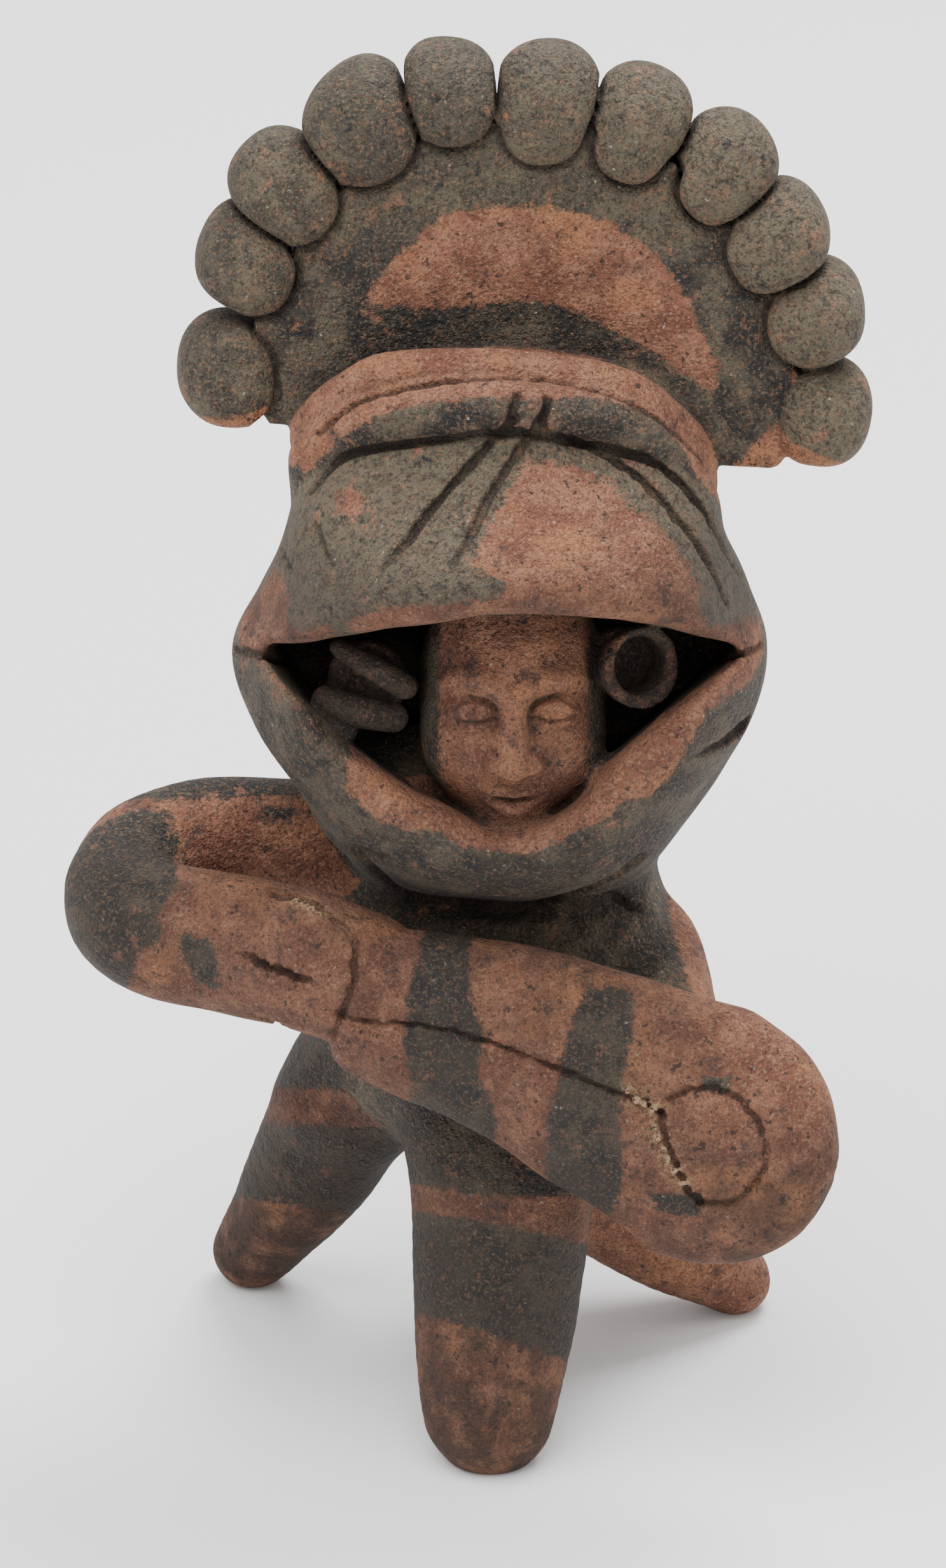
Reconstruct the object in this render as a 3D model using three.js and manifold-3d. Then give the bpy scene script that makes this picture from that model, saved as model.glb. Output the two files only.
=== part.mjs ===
// A hand-modelled clay figure: it stands on two legs and a thick tail, wears a bird's head as a hood
// with a fan crest edged in clay pellets, and holds a long folded coil across its body.
// One body of fired clay. Millimetres, +Z up, the hood faces -Y.
import * as THREE from 'three';
import { mergeVertices } from 'three/addons/utils/BufferGeometryUtils.js';
import Module from 'manifold-3d';

const wasm = await Module();
wasm.setup();

// Driving dimensions

const clayColour = 0x7d5140;

// Horizontal sections: height, half width, front and back of each.
const torsoSections = [
  [25.5, 4, -3, 8],
  [31, 14, -12, 14],
  [38, 19, -17, 16.5],
  [46, 20.5, -18.5, 18],
  [54, 20.8, -19, 18.5],
  [59, 20.4, -17.8, 17.5],
  [63, 19.2, -14.5, 15.5],
  [66.5, 14, -9.5, 11],
  [68.5, 4, -4, 5],
];
const hoodSections = [
  [56, 12, -6, 12],
  [60, 18.6, -10.5, 17.5],
  [66, 19, -12.5, 19],
  [70.5, 19.7, -20.5, 19.5],
  [76, 22.3, -27, 20],
  [82, 25.6, -30, 21],
  [89, 29.8, -31.5, 21.5],
  [97, 31.6, -33, 21.5],
  [104, 29.2, -34.8, 21.5],
  [110, 27, -34.6, 21],
  [114, 25.6, -32, 20.5],
  [119, 24.1, -26, 19],
  [125, 22.2, -18.5, 16],
  [129.5, 18.5, -14, 12.5],
  [132, 12, -10, 7],
  [133.5, 2, -5, 1],
];

// The open beak, in its own frame: across, and up at right angles to its slope down into the hood.
const beakSlope = 20;
const upperLip = [[-29.5, 89.7], [-21.6, 90.6], [-12.7, 93.5], [0.5, 94.7], [12.3, 93.7], [21.3, 91.5], [29.1, 89.5]];
const lowerLip = [[24.5, 86.2], [18.5, 81.7], [12.4, 76.5], [8.3, 71.6], [0.6, 68.2], [-7.6, 71.4], [-15.5, 76.2], [-24.5, 85]];
const beakBack = 34;

// The face inside the beak, and the spools beside it.
const face = { centre: [1.2, -11, 94], half: [11.4, 14, 19] };
const chin = { centre: [1.2, -18.6, 82.4], half: [4.6, 4.4, 3.4] };
const eyes = [{ centre: [-3.4, -23.4, 96.9], half: [2.7, 1.3, 1.1] }, { centre: [5.8, -23.4, 96.9], half: [2.7, 1.3, 1.1] }];
const lips = [{ centre: [1.2, -23.9, 87.4], half: [3.5, 1.3, 0.8] }, { centre: [1.2, -23.4, 85.8], half: [3, 1.4, 0.9] }];
const browLine = [[-7.2, -20.4, 98.6, 0.8], [-3.2, -23.6, 99.8, 1.2], [1.2, -24.6, 99.2, 1.1], [5.6, -23.6, 99.8, 1.2], [9.6, -20.4, 98.6, 0.8]];
const nose = [[1.2, -23.9, 99.2, 1.1], [1.2, -25.4, 95, 1.4], [1.2, -26.2, 91.4, 2.1]];
const spools = [{ centre: [18.4, -19, 99.6], radius: 4.5 }, { centre: [-15.6, -18, 97.6], radius: 4.1 }];
const spoolDepth = 20;
const spoolHole = 3;

// Crest: a fan of clay behind the brow, leaning back and turned a little in its own plane.
const crest = { centre: [2.2, 2.5, 128], lean: 9, roll: -6.5, radius: 33, thickness: 8, soffit: -7.5, bevel: 2 };

// The pellets on its rim: angle, distance of the middle, half length outwards and half length along the rim.
const pellets = [
  [177, 34.4, 6.3, 6.6], [155.7, 35, 7.1, 6.1], [139.4, 35.6, 7.1, 6.2], [121.2, 35.9, 7.5, 7.2],
  [103.7, 35.4, 6, 6], [85.6, 33.5, 7.3, 6.3], [66.2, 32.8, 7.1, 5.9], [47.3, 33.8, 7, 5.9],
  [30.3, 33.9, 6.8, 6.1], [13.2, 34.8, 6.7, 6.1], [-7, 35.7, 6.2, 6.1],
];
const pelletDepth = 6.4;
const pelletSquareness = 0.78;

// Centre line points with the radius of the clay at each, for everything rolled out as a coil.
const upperRidge = [
  [-22.5, 0.5, 118.5, 2.6], [-21.4, -3.5, 124.2, 2.8], [-15.6, -6.6, 130.8, 2.9], [-6.8, -8.8, 133.3, 2.9],
  [0.6, -9.5, 133.9, 2.9], [11.5, -8.4, 131.2, 2.9], [19, -5.8, 125.6, 2.8], [22.8, -2.2, 118.6, 2.6], [23.2, 1.5, 113, 2.4],
];
const lowerRidge = [
  [-22.6, -2, 115, 2.8], [-21.6, -6.4, 121.7, 3], [-15.6, -10.4, 127.8, 3.3], [-6.8, -13.1, 130.8, 3.5],
  [0.6, -13.8, 131.3, 3.5], [11.2, -12.4, 129.2, 3.4], [19, -8.8, 123.2, 3.2], [22.6, -4.4, 115.6, 2.9], [23.6, -0.5, 109, 2.4],
];
const frontLeg = [[0.6, -10, 40, 12.5], [0, -18, 30, 11.4], [-0.9, -24.3, 17.5, 9.6], [-1.9, -30.6, 6.4, 6.9]];
const sideLeg = [[-12, 2, 40, 11], [-17.5, 4.5, 32.8, 10.4], [-20.8, 7, 26.2, 9], [-26.3, 10.5, 14.3, 7.2], [-31.6, 13.5, 5.2, 5.4]];
const tail = [[2, 3, 34, 14], [10, 4.2, 24.5, 12], [20, 5.6, 14, 8.6], [29, 7, 5, 5.1]];
const bentArm = [
  [-12, 2, 65, 7.5], [-23.5, 4, 67, 7.1], [-34, 4, 67.4, 7], [-43, 0.5, 66.2, 7.6], [-46.2, -5.5, 64.2, 8.1],
  [-42.5, -11, 62.6, 8.2], [-34, -14.5, 62.1, 8.4], [-25, -18.5, 62, 8.3], [-17.5, -22, 61.6, 7.7],
];
const straightArm = [[12, 4, 56, 7], [17.2, 1, 54.5, 6.8], [19, -6, 52.5, 6.6], [19.8, -15, 51, 6.4], [20, -24, 50, 6]];

// The folded coil: pressed together into one club. Its frame starts at the middle of the loop.
// Sections along it towards the hand: distance, half thickness, lower and upper edge.
const club = { loopCentre: [24.1, -32, 44.6], handEnd: [-18.3, -23, 61.3], tiltBack: 10 };
const clubSections = [
  [-15.9, 0.8, -1.5, 1.5], [-14.6, 3.6, -6.2, 6.2], [-11, 5.4, -11.4, 11.4], [-6, 6.1, -14.6, 14.6],
  [0, 6.4, -15.7, 15.8], [5, 6.5, -13.9, 15.6], [11, 6.5, -12.2, 15.2], [20, 6.5, -10.9, 14.2],
  [28, 6.4, -10.5, 12.8], [36, 6.2, -10.2, 10.3], [43, 5.6, -8.8, 7.6], [47, 2.4, -3.6, 3.2],
];
const clubFace = 5.9;
const clubSeam = [[7, 1.6], [14, 0.2], [22, -0.2], [32, -0.6], [41, -1.2]];
const plugRing = { centre: [0.5, 0.3], radius: 6.7, from: -165, to: 150 };

// Cuts drawn in the wet clay of the beak: centre line points and half width.
const beakCuts = [
  [[-1.3, -16.2, 128.2, 0.9], [-6.8, -21, 122.7, 1], [-14.2, -25.9, 115.6, 0.6]],
  [[2.4, -16, 128.2, 0.8], [-0.2, -19.6, 124.5, 0.9], [-5.7, -28, 117, 0.6]],
  [[8.3, -15.2, 127.8, 0.9], [19.1, -17, 119.4, 1.2], [23.3, -17.4, 113.6, 1.2], [26, -17, 107.7, 0.8]],
  [[16.2, -13.6, 125.2, 0.7], [23.8, -12, 116.5, 0.8], [27.7, -8.8, 107.9, 0.5]],
];

// How far the round feet are pressed flat, and the finest edge kept after joining.
const floorSink = 0.6;
const tolerance = 0.03;

// Building blocks

const vector = (p) => new THREE.Vector3(p[0], p[1], p[2]);

// A smooth value through evenly spaced numbers.
function through(values) {
  const last = values.length - 1;
  return (t) => {
    const place = Math.min(Math.max(t, 0), 1) * last;
    const i = Math.min(Math.floor(place), last - 1);
    const [a, b] = [values[i], values[i + 1]];
    const slopeA = i > 0 ? (b - values[i - 1]) / 2 : b - a;
    const slopeB = i < last - 1 ? (values[i + 2] - a) / 2 : b - a;
    const u = place - i;
    const rise = u * u * (3 - 2 * u);
    return a + (b - a) * rise + slopeA * u * (1 - u) * (1 - u) - slopeB * u * u * (1 - u);
  };
}

// A sphere's grid of points, each moved by place(row from 0 to 1, turn in radians).
function wrapSphere(sides, rows, place) {
  const geometry = new THREE.SphereGeometry(1, sides, rows);
  const at = geometry.attributes.position;
  for (let i = 0; i < at.count; i++) {
    const row = Math.floor(i / (sides + 1)) / rows;
    const turn = ((i % (sides + 1)) % sides) / sides * 2 * Math.PI;
    const p = place(row, turn);
    at.setXYZ(i, p.x, p.y, p.z);
  }
  return geometry;
}

// Clay laid up in horizontal sections, each an ellipse.
function stacked(sections, { sides, rows, power = [1, 1] }) {
  const [height, half, front, back] = [0, 1, 2, 3].map((k) => through(sections.map((s) => s[k])));
  const push = (value, k) => Math.sign(value) * Math.abs(value) ** power[k];
  const ends = 1 / rows;
  return wrapSphere(sides, rows, (row, turn) => {
    const t = (row - ends) / (1 - 2 * ends);
    const pole = row === 0 || row === 1 ? 0 : 1;
    const middle = (front(t) + back(t)) / 2;
    const depth = (back(t) - front(t)) / 2;
    const x = pole * half(t) * push(Math.cos(turn), 0);
    return new THREE.Vector3(x, middle - pole * depth * push(Math.sin(turn), 1), height(t));
  });
}

// A rolled coil of clay with round ends.
function rolled(points, { sides, rings, capRows }) {
  const curve = new THREE.CatmullRomCurve3(points.map(vector), false, 'centripetal');
  const frames = curve.computeFrenetFrames(rings, false);
  const radius = through(points.map((p) => p[3]));
  const rows = rings + 2 * capRows;
  return wrapSphere(sides, rows, (row, turn) => {
    const ring = Math.min(Math.max(Math.round(row * rows) - capRows, 0), rings);
    const past = Math.round(row * rows) - capRows - ring;
    const lean = (past / capRows) * (Math.PI / 2);
    const t = curve.getUtoTmapping(ring / rings);
    const centre = curve.getPoint(t);
    const r = radius(t);
    const out = frames.normals[ring].clone().multiplyScalar(Math.cos(turn) * Math.cos(lean) * r)
      .addScaledVector(frames.binormals[ring], -Math.sin(turn) * Math.cos(lean) * r)
      .addScaledVector(frames.tangents[ring], Math.sin(lean) * r);
    return centre.add(out);
  });
}

function ellipsoid(centre, half, sides, rows) {
  const geometry = new THREE.SphereGeometry(1, sides, rows);
  geometry.scale(half[0], half[1], half[2]);
  geometry.translate(centre[0], centre[1], centre[2]);
  return geometry;
}

// Pushes a unit sphere's points towards a cube.
function squareOff(geometry, power) {
  const at = geometry.attributes.position;
  const push = (value) => Math.sign(value) * Math.abs(value) ** power;
  for (let i = 0; i < at.count; i++) {
    const p = new THREE.Vector3().fromBufferAttribute(at, i);
    const flat = Math.hypot(p.x, p.y);
    const turn = Math.atan2(p.y, p.x);
    const out = push(flat);
    at.setXYZ(i, out * push(Math.cos(turn)), out * push(Math.sin(turn)), push(p.z));
  }
}

function toSolid(geometry) {
  const bare = geometry.clone();
  bare.deleteAttribute('normal');
  bare.deleteAttribute('uv');
  const merged = mergeVertices(bare, 1e-4);
  const vertProperties = new Float32Array(merged.attributes.position.array);
  const triVerts = new Uint32Array(merged.index.array);
  return new wasm.Manifold(new wasm.Mesh({ numProp: 3, vertProperties, triVerts }));
}

function toGeometry(solid) {
  const mesh = solid.getMesh();
  const geometry = new THREE.BufferGeometry();
  geometry.setAttribute('position', new THREE.BufferAttribute(new Float32Array(mesh.vertProperties), 3));
  geometry.setIndex(new THREE.BufferAttribute(new Uint32Array(mesh.triVerts), 1));
  geometry.computeVertexNormals();
  return geometry;
}

const joinAll = (solids) => solids.reduce((whole, one) => whole.add(one));

// Parts of the figure

function hood() {
  return toSolid(stacked(hoodSections, { sides: 30, rows: 22 }));
}

function openBeak() {
  const edge = [...upperLip, ...lowerLip];
  const outline = new THREE.CatmullRomCurve3(edge.map(([x, v]) => new THREE.Vector3(x, v, 0)), true);
  const shape = new THREE.Shape(outline.getPoints(40).slice(0, -1).map((p) => new THREE.Vector2(p.x, p.y)));
  const geometry = new THREE.ExtrudeGeometry(shape, { depth: 60, bevelEnabled: false });
  geometry.rotateX(Math.PI / 2);
  geometry.translate(0, -beakBack, 0);
  geometry.rotateX(THREE.MathUtils.degToRad(-beakSlope));
  return toSolid(geometry);
}

function earSpools() {
  return spools.map(({ centre, radius }) => {
    const profile = [[0, spoolHole], [0.42, spoolHole], [0.55, 0.2], [0.8, 0], [1, 0.6], [1, spoolDepth], [0, spoolDepth]];
    const geometry = new THREE.LatheGeometry(profile.map(([r, y]) => new THREE.Vector2(r * radius, y)), 12);
    geometry.rotateX(THREE.MathUtils.degToRad(-beakSlope));
    geometry.translate(...centre);
    return toSolid(geometry);
  });
}

function crestFrame() {
  const place = new THREE.Matrix4().makeTranslation(vector(crest.centre));
  return place.multiply(new THREE.Matrix4().makeRotationX(THREE.MathUtils.degToRad(-crest.lean)));
}

function crestFan() {
  const low = Math.asin(crest.soffit / crest.radius);
  const rim = Array.from({ length: 33 }, (_, i) => {
    const angle = low + (i / 32) * (Math.PI - 2 * low);
    return new THREE.Vector2(crest.radius * Math.cos(angle), crest.radius * Math.sin(angle));
  });
  const geometry = new THREE.ExtrudeGeometry(new THREE.Shape(rim), {
    depth: crest.thickness - 2 * crest.bevel, bevelThickness: crest.bevel,
    bevelSize: crest.bevel, bevelOffset: -crest.bevel, bevelSegments: 2,
  });
  geometry.translate(0, 0, -crest.thickness / 2 + crest.bevel);
  geometry.rotateX(Math.PI / 2);
  geometry.rotateY(THREE.MathUtils.degToRad(-crest.roll));
  return toSolid(geometry.applyMatrix4(crestFrame()));
}

function crestPellets() {
  return pellets.map(([angle, distance, outwards, along]) => {
    const geometry = new THREE.SphereGeometry(1, 12, 8);
    squareOff(geometry, pelletSquareness);
    geometry.scale(outwards, pelletDepth, along);
    geometry.translate(distance, 0, 0);
    geometry.rotateY(THREE.MathUtils.degToRad(-angle));
    return toSolid(geometry.applyMatrix4(crestFrame()));
  });
}

function browBand() {
  return [upperRidge, lowerRidge].map((ridge) => toSolid(rolled(ridge, { sides: 8, rings: 18, capRows: 2 })));
}

function clubFrame() {
  const centre = vector(club.loopCentre);
  const along = vector(club.handEnd).sub(centre).normalize();
  const tilt = THREE.MathUtils.degToRad(club.tiltBack);
  const up = new THREE.Vector3(0, Math.sin(tilt), Math.cos(tilt));
  up.addScaledVector(along, -up.dot(along)).normalize();
  const front = new THREE.Vector3().crossVectors(up, along);
  return new THREE.Matrix4().makeBasis(front, up, along).setPosition(centre);
}

function foldedClub() {
  const squared = { sides: 20, rows: 18, power: [0.8, 0.9] };
  return toSolid(stacked(clubSections, squared).applyMatrix4(clubFrame()));
}

function clubCuts() {
  const seam = clubSeam.map(([s, t]) => [clubFace, t, s, 0.8]);
  const sweep = THREE.MathUtils.degToRad(plugRing.to - plugRing.from);
  const ring = Array.from({ length: 8 }, (_, i) => {
    const a = THREE.MathUtils.degToRad(plugRing.from) + (i / 7) * sweep;
    const [s, t] = plugRing.centre;
    return [clubFace + 0.3, t + plugRing.radius * Math.sin(a), s + plugRing.radius * Math.cos(a), 0.8];
  });
  const place = clubFrame();
  return [
    toSolid(rolled(seam, { sides: 6, rings: 6, capRows: 1 }).applyMatrix4(place)),
    toSolid(rolled(ring, { sides: 6, rings: 14, capRows: 1 }).applyMatrix4(place)),
  ];
}

function cutsInBeak() {
  return beakCuts.map((line) => toSolid(rolled(line, { sides: 6, rings: 7, capRows: 1 })));
}

function limbs() {
  const thick = { sides: 14, rings: 7, capRows: 3 };
  return [
    toSolid(rolled(frontLeg, thick)), toSolid(rolled(sideLeg, thick)), toSolid(rolled(tail, thick)),
    toSolid(rolled(bentArm, { sides: 14, rings: 16, capRows: 3 })),
    toSolid(rolled(straightArm, { sides: 10, rings: 5, capRows: 2 })),
  ];
}

function floorBlock() {
  return toSolid(new THREE.BoxGeometry(200, 200, 20).translate(0, 0, -10 + floorSink));
}

function figure() {
  const head = hood().subtract(openBeak());
  const features = [
    toSolid(ellipsoid(face.centre, face.half, 18, 14)), toSolid(ellipsoid(chin.centre, chin.half, 10, 8)),
    ...[...eyes, ...lips].map(({ centre, half }) => toSolid(ellipsoid(centre, half, 10, 6))),
    toSolid(rolled(browLine, { sides: 6, rings: 6, capRows: 1 })),
    toSolid(rolled(nose, { sides: 8, rings: 4, capRows: 2 })), ...earSpools(),
  ];
  const body = joinAll([
    head, ...features, ...browBand(), crestFan(), ...crestPellets(),
    toSolid(stacked(torsoSections, { sides: 24, rows: 10 })), ...limbs(), foldedClub(),
  ]);
  const cuts = joinAll([...cutsInBeak(), ...clubCuts()]);
  return toGeometry(body.subtract(cuts).asOriginal().simplify(tolerance).subtract(floorBlock()));
}

const geometry = figure();
geometry.computeBoundingBox();
const { min, max } = geometry.boundingBox;
geometry.translate(-(min.x + max.x) / 2, -(min.y + max.y) / 2, -min.z);
const clay = new THREE.MeshStandardMaterial({ color: clayColour, roughness: 0.92, metalness: 0 });
const mesh = new THREE.Mesh(geometry, clay);
mesh.name = 'clay_figure';

const group = new THREE.Group();
group.add(mesh);
export default group;
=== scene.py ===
import math

import bpy
import numpy as np
import openvdb
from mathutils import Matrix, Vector


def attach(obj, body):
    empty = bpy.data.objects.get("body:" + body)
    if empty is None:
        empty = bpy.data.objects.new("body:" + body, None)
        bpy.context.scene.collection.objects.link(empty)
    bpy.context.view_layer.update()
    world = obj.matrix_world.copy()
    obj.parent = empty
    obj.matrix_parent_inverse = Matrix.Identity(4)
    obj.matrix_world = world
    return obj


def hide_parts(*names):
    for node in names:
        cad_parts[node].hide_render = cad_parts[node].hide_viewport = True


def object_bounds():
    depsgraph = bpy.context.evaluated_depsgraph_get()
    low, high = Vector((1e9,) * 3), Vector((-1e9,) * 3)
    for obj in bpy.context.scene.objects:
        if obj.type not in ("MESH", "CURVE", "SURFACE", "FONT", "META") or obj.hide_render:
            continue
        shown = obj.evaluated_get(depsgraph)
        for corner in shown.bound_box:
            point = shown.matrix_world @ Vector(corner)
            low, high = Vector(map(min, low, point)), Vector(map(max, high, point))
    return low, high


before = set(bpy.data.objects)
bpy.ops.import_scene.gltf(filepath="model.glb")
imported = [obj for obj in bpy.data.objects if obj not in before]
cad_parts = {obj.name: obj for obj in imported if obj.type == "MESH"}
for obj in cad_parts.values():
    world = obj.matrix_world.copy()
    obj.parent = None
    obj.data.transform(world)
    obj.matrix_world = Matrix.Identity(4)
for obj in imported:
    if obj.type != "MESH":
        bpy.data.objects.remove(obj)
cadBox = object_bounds()

frameShift = np.array([4.604, 9.131, -0.6])
farAway = 4.0

volume = {
    "low": (-56.0, -42.0, -1.0),
    "high": (47.0, 25.0, 171.0),
    "voxel": 0.4,
    "triangles": 190000,
}


# small maths helpers

def smoothMin(a, b, soft):
    soft = np.maximum(soft, 1e-3)
    meet = np.clip(soft - np.abs(a - b), 0, None)
    return np.minimum(a, b) - meet * meet / (4 * soft)


def ramp(value, low, high):
    t = np.clip((value - low) / (high - low), 0, 1)
    return t * t * (3 - 2 * t)


def smoothLine(points, steps):
    # Catmull-Rom through the points, any number of columns
    p = np.array(points, float)
    out = []
    for i in range(len(p) - 1):
        a, b, c, d = p[max(i - 1, 0)], p[i], p[i + 1], p[min(i + 2, len(p) - 1)]
        for u in np.linspace(0, 1, steps, endpoint=False):
            out.append(0.5 * (2 * b + (c - a) * u + (2 * a - 5 * b + 4 * c - d) * u * u
                              + (3 * b - a - 3 * c + d) * u ** 3))
    out.append(p[-1])
    return np.array(out)


def smoothLoop(points, steps):
    p = [list(q) for q in points]
    ring = smoothLine([p[-1]] + p + [p[0], p[1]], steps)
    return ring[steps:-steps]


def insideOutline(points, a, b):
    # signed distance to a closed outline, positive inside
    loop = np.array(points, float)
    best = np.full(a.shape, 1e9)
    inside = np.zeros(a.shape, bool)
    for (ax, av), (bx, bv) in zip(loop, np.roll(loop, -1, axis=0)):
        dx, dv = bx - ax, bv - av
        t = np.clip(((a - ax) * dx + (b - av) * dv) / max(dx * dx + dv * dv, 1e-9), 0, 1)
        best = np.minimum(best, (a - ax - t * dx) ** 2 + (b - av - t * dv) ** 2)
        crosses = (av > b) != (bv > b)
        inside ^= crosses & (a < ax + (b - av) / (dv if dv else 1e-9) * dx)
    return np.where(inside, 1, -1) * np.sqrt(best)


def axisFrame(origin, along, up):
    along = np.array(along, float) / np.linalg.norm(along)
    up = np.array(up, float)
    up = up - along * (up @ along)
    up /= np.linalg.norm(up)
    front = np.cross(up, along)
    return {"origin": np.array(origin, float), "front": front, "up": up, "along": along}


def intoFrame(place, x, y, z):
    o = place["origin"]
    return [(x - o[0]) * a[0] + (y - o[1]) * a[1] + (z - o[2]) * a[2]
            for a in (place["front"], place["up"], place["along"])]


def outOfFrame(place, front, up, along):
    return place["origin"] + front * place["front"] + up * place["up"] + along * place["along"]


class Nodes:
    # short ways to add and link nodes

    def __init__(self, tree):
        self.tree = tree

    def add(self, kind, **settings):
        node = self.tree.nodes.new(kind)
        for name, value in settings.items():
            setattr(node, name, value)
        return node

    def fill(self, socket, value):
        if isinstance(value, bpy.types.NodeSocket):
            self.tree.links.new(value, socket)
        else:
            socket.default_value = value

    def put(self, node, **values):
        for name, value in values.items():
            self.fill(node.inputs[name], value)

    def math(self, operation, a, b=0.0, clamp=False):
        node = self.add("ShaderNodeMath", operation=operation, use_clamp=clamp)
        self.fill(node.inputs[0], a)
        self.fill(node.inputs[1], b)
        return node.outputs[0]

    def plus(self, a, b):
        return self.math("ADD", a, b)

    def times(self, a, b):
        return self.math("MULTIPLY", a, b)

    def larger(self, a, b):
        return self.math("MAXIMUM", a, b)

    def around(self, value, reach):
        # a pattern's swing to either side of its middle, made as large as reach
        return self.times(self.math("SUBTRACT", value, 0.5), reach)

    def without(self, value):
        return self.math("SUBTRACT", 1.0, value, True)

    def vector(self, operation, a, b=(0, 0, 0)):
        node = self.add("ShaderNodeVectorMath", operation=operation)
        self.fill(node.inputs[0], a)
        self.fill(node.inputs[1], b)
        return node.outputs

    def scaled(self, vector, scale):
        node = self.add("ShaderNodeVectorMath", operation="SCALE")
        self.put(node, Vector=vector, Scale=scale)
        return node.outputs[0]

    def combined(self, x=0.0, y=0.0, z=0.0):
        node = self.add("ShaderNodeCombineXYZ")
        self.put(node, X=x, Y=y, Z=z)
        return node.outputs[0]

    def noise(self, at, scale, detail=3.0, roughness=0.55):
        # three unrelated patterns of the same size
        node = self.add("ShaderNodeTexNoise")
        self.put(node, Vector=at, Scale=scale, Detail=detail, Roughness=roughness)
        parts = self.add("ShaderNodeSeparateColor")
        self.put(parts, Color=node.outputs["Color"])
        return parts.outputs

    def ramp(self, value, low, high, out=(0.0, 1.0)):
        node = self.add("ShaderNodeMapRange", interpolation_type="SMOOTHSTEP")
        self.put(node, **{"Value": value, "From Min": low, "From Max": high})
        self.put(node, **{"To Min": out[0], "To Max": out[1]})
        return node.outputs["Result"]

    def mix(self, amount, a, b):
        node = self.add("ShaderNodeMix", data_type="RGBA")
        sockets = {s.identifier: s for s in [*node.inputs, *node.outputs]}
        for name, value in (("Factor_Float", amount), ("A_Color", a), ("B_Color", b)):
            self.fill(sockets[name], value)
        return sockets["Result_Color"]

    def attribute(self, name):
        return self.add("ShaderNodeAttribute", attribute_name=name).outputs["Fac"]


# reading and writing meshes

def vertexArray(mesh):
    at = np.empty(len(mesh.vertices) * 3)
    mesh.vertices.foreach_get("co", at)
    return at.reshape(-1, 3)


def giveValues(mesh, name, values):
    mesh.attributes.new(name, "FLOAT", "POINT").data.foreach_set("value", np.asarray(values, np.float32))


# the clay: a box of voxels that holds the distance to the surface, negative inside

step = volume["voxel"]
low = np.array(volume["low"])
counts = np.ceil((np.array(volume["high"]) - low) / step).astype(int) + 1
clay = np.full(counts, farAway, np.float32)
owner = np.zeros(counts, np.uint8)
owners = {}
lines = np.full(counts, farAway, np.float32)


def window(bottom, top):
    first = np.clip(np.floor((np.array(bottom) - low) / step).astype(int), 0, counts - 2)
    last = np.clip(np.ceil((np.array(top) - low) / step).astype(int) + 1, first + 2, counts)
    where = tuple(slice(a, b) for a, b in zip(first, last))
    axes = [(low[k] + step * np.arange(first[k], last[k])).astype(np.float32) for k in range(3)]
    return where, axes[0][:, None, None], axes[1][None, :, None], axes[2][None, None, :]


def join(where, distance, soft, name, crease=None):
    owners.setdefault(name, len(owners) + 1)
    here = clay[where]
    distance = np.minimum(distance, farAway)
    owner[where][(distance < here) & (distance < 1.5)] = owners[name]
    both = np.where(distance < farAway, smoothMin(here, distance, soft), here)
    if crease:
        # a thin groove is left where the two lumps meet
        width, deep = crease
        groove = np.abs(here - distance) - width * np.clip(1 + np.minimum(here, distance) / deep, 0, 1.5)
        both = np.maximum(both, -groove)
    clay[where] = both


def cut(where, distance, soft):
    clay[where] = -smoothMin(-clay[where], distance, soft)


def coilDistance(points, margin, steps=6):
    # tapered coil through points of x, y, z, radius
    line = smoothLine(points, steps)
    reach = line[:, 3].max() + margin
    where, x, y, z = window(line[:, :3].min(0) - reach, line[:, :3].max(0) + reach)
    out = np.full((x.size, y.size, z.size), farAway, np.float32)
    base = [s.start for s in where]
    for a, b in zip(line[:-1], line[1:]):
        r = max(a[3], b[3]) + margin
        part, px, py, pz = window(np.minimum(a, b)[:3] - r, np.maximum(a, b)[:3] + r)
        inside = tuple(slice(s.start - k, s.stop - k) for s, k in zip(part, base))
        d = b[:3] - a[:3]
        t = ((px - a[0]) * d[0] + (py - a[1]) * d[1] + (pz - a[2]) * d[2]) / max(d @ d, 1e-9)
        t = np.clip(t, 0, 1)
        across, along, above = px - a[0] - t * d[0], py - a[1] - t * d[1], pz - a[2] - t * d[2]
        gap = np.sqrt(across ** 2 + along ** 2 + above ** 2)
        out[inside] = np.minimum(out[inside], gap - (a[3] + t * (b[3] - a[3])))
    return where, out


def addCoil(points, soft, name):
    where, distance = coilDistance(points, soft + 2)
    join(where, distance, soft, name)


def ballDistance(centre, half, margin):
    c, r = np.array(centre, float), np.array(half, float)
    where, x, y, z = window(c - r - margin, c + r + margin)
    x, y, z = (x - c[0]), (y - c[1]), (z - c[2])
    k0 = np.sqrt((x / r[0]) ** 2 + (y / r[1]) ** 2 + (z / r[2]) ** 2)
    k1 = np.sqrt((x / r[0] ** 2) ** 2 + (y / r[1] ** 2) ** 2 + (z / r[2] ** 2) ** 2)
    return where, k0 * (k0 - 1) / np.maximum(k1, 1e-6)


def addBall(centre, half, soft, name):
    where, distance = ballDistance(centre, half, soft + 2)
    join(where, distance, soft, name)


def cutBall(centre, half, soft):
    where, distance = ballDistance(centre, half, soft + 2)
    cut(where, distance, soft)


def sectionTable(sections):
    # sections: height, half width, front, back
    fine = smoothLine(sections, 12)
    order = np.argsort(fine[:, 0], kind="stable")
    return fine[order]


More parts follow.
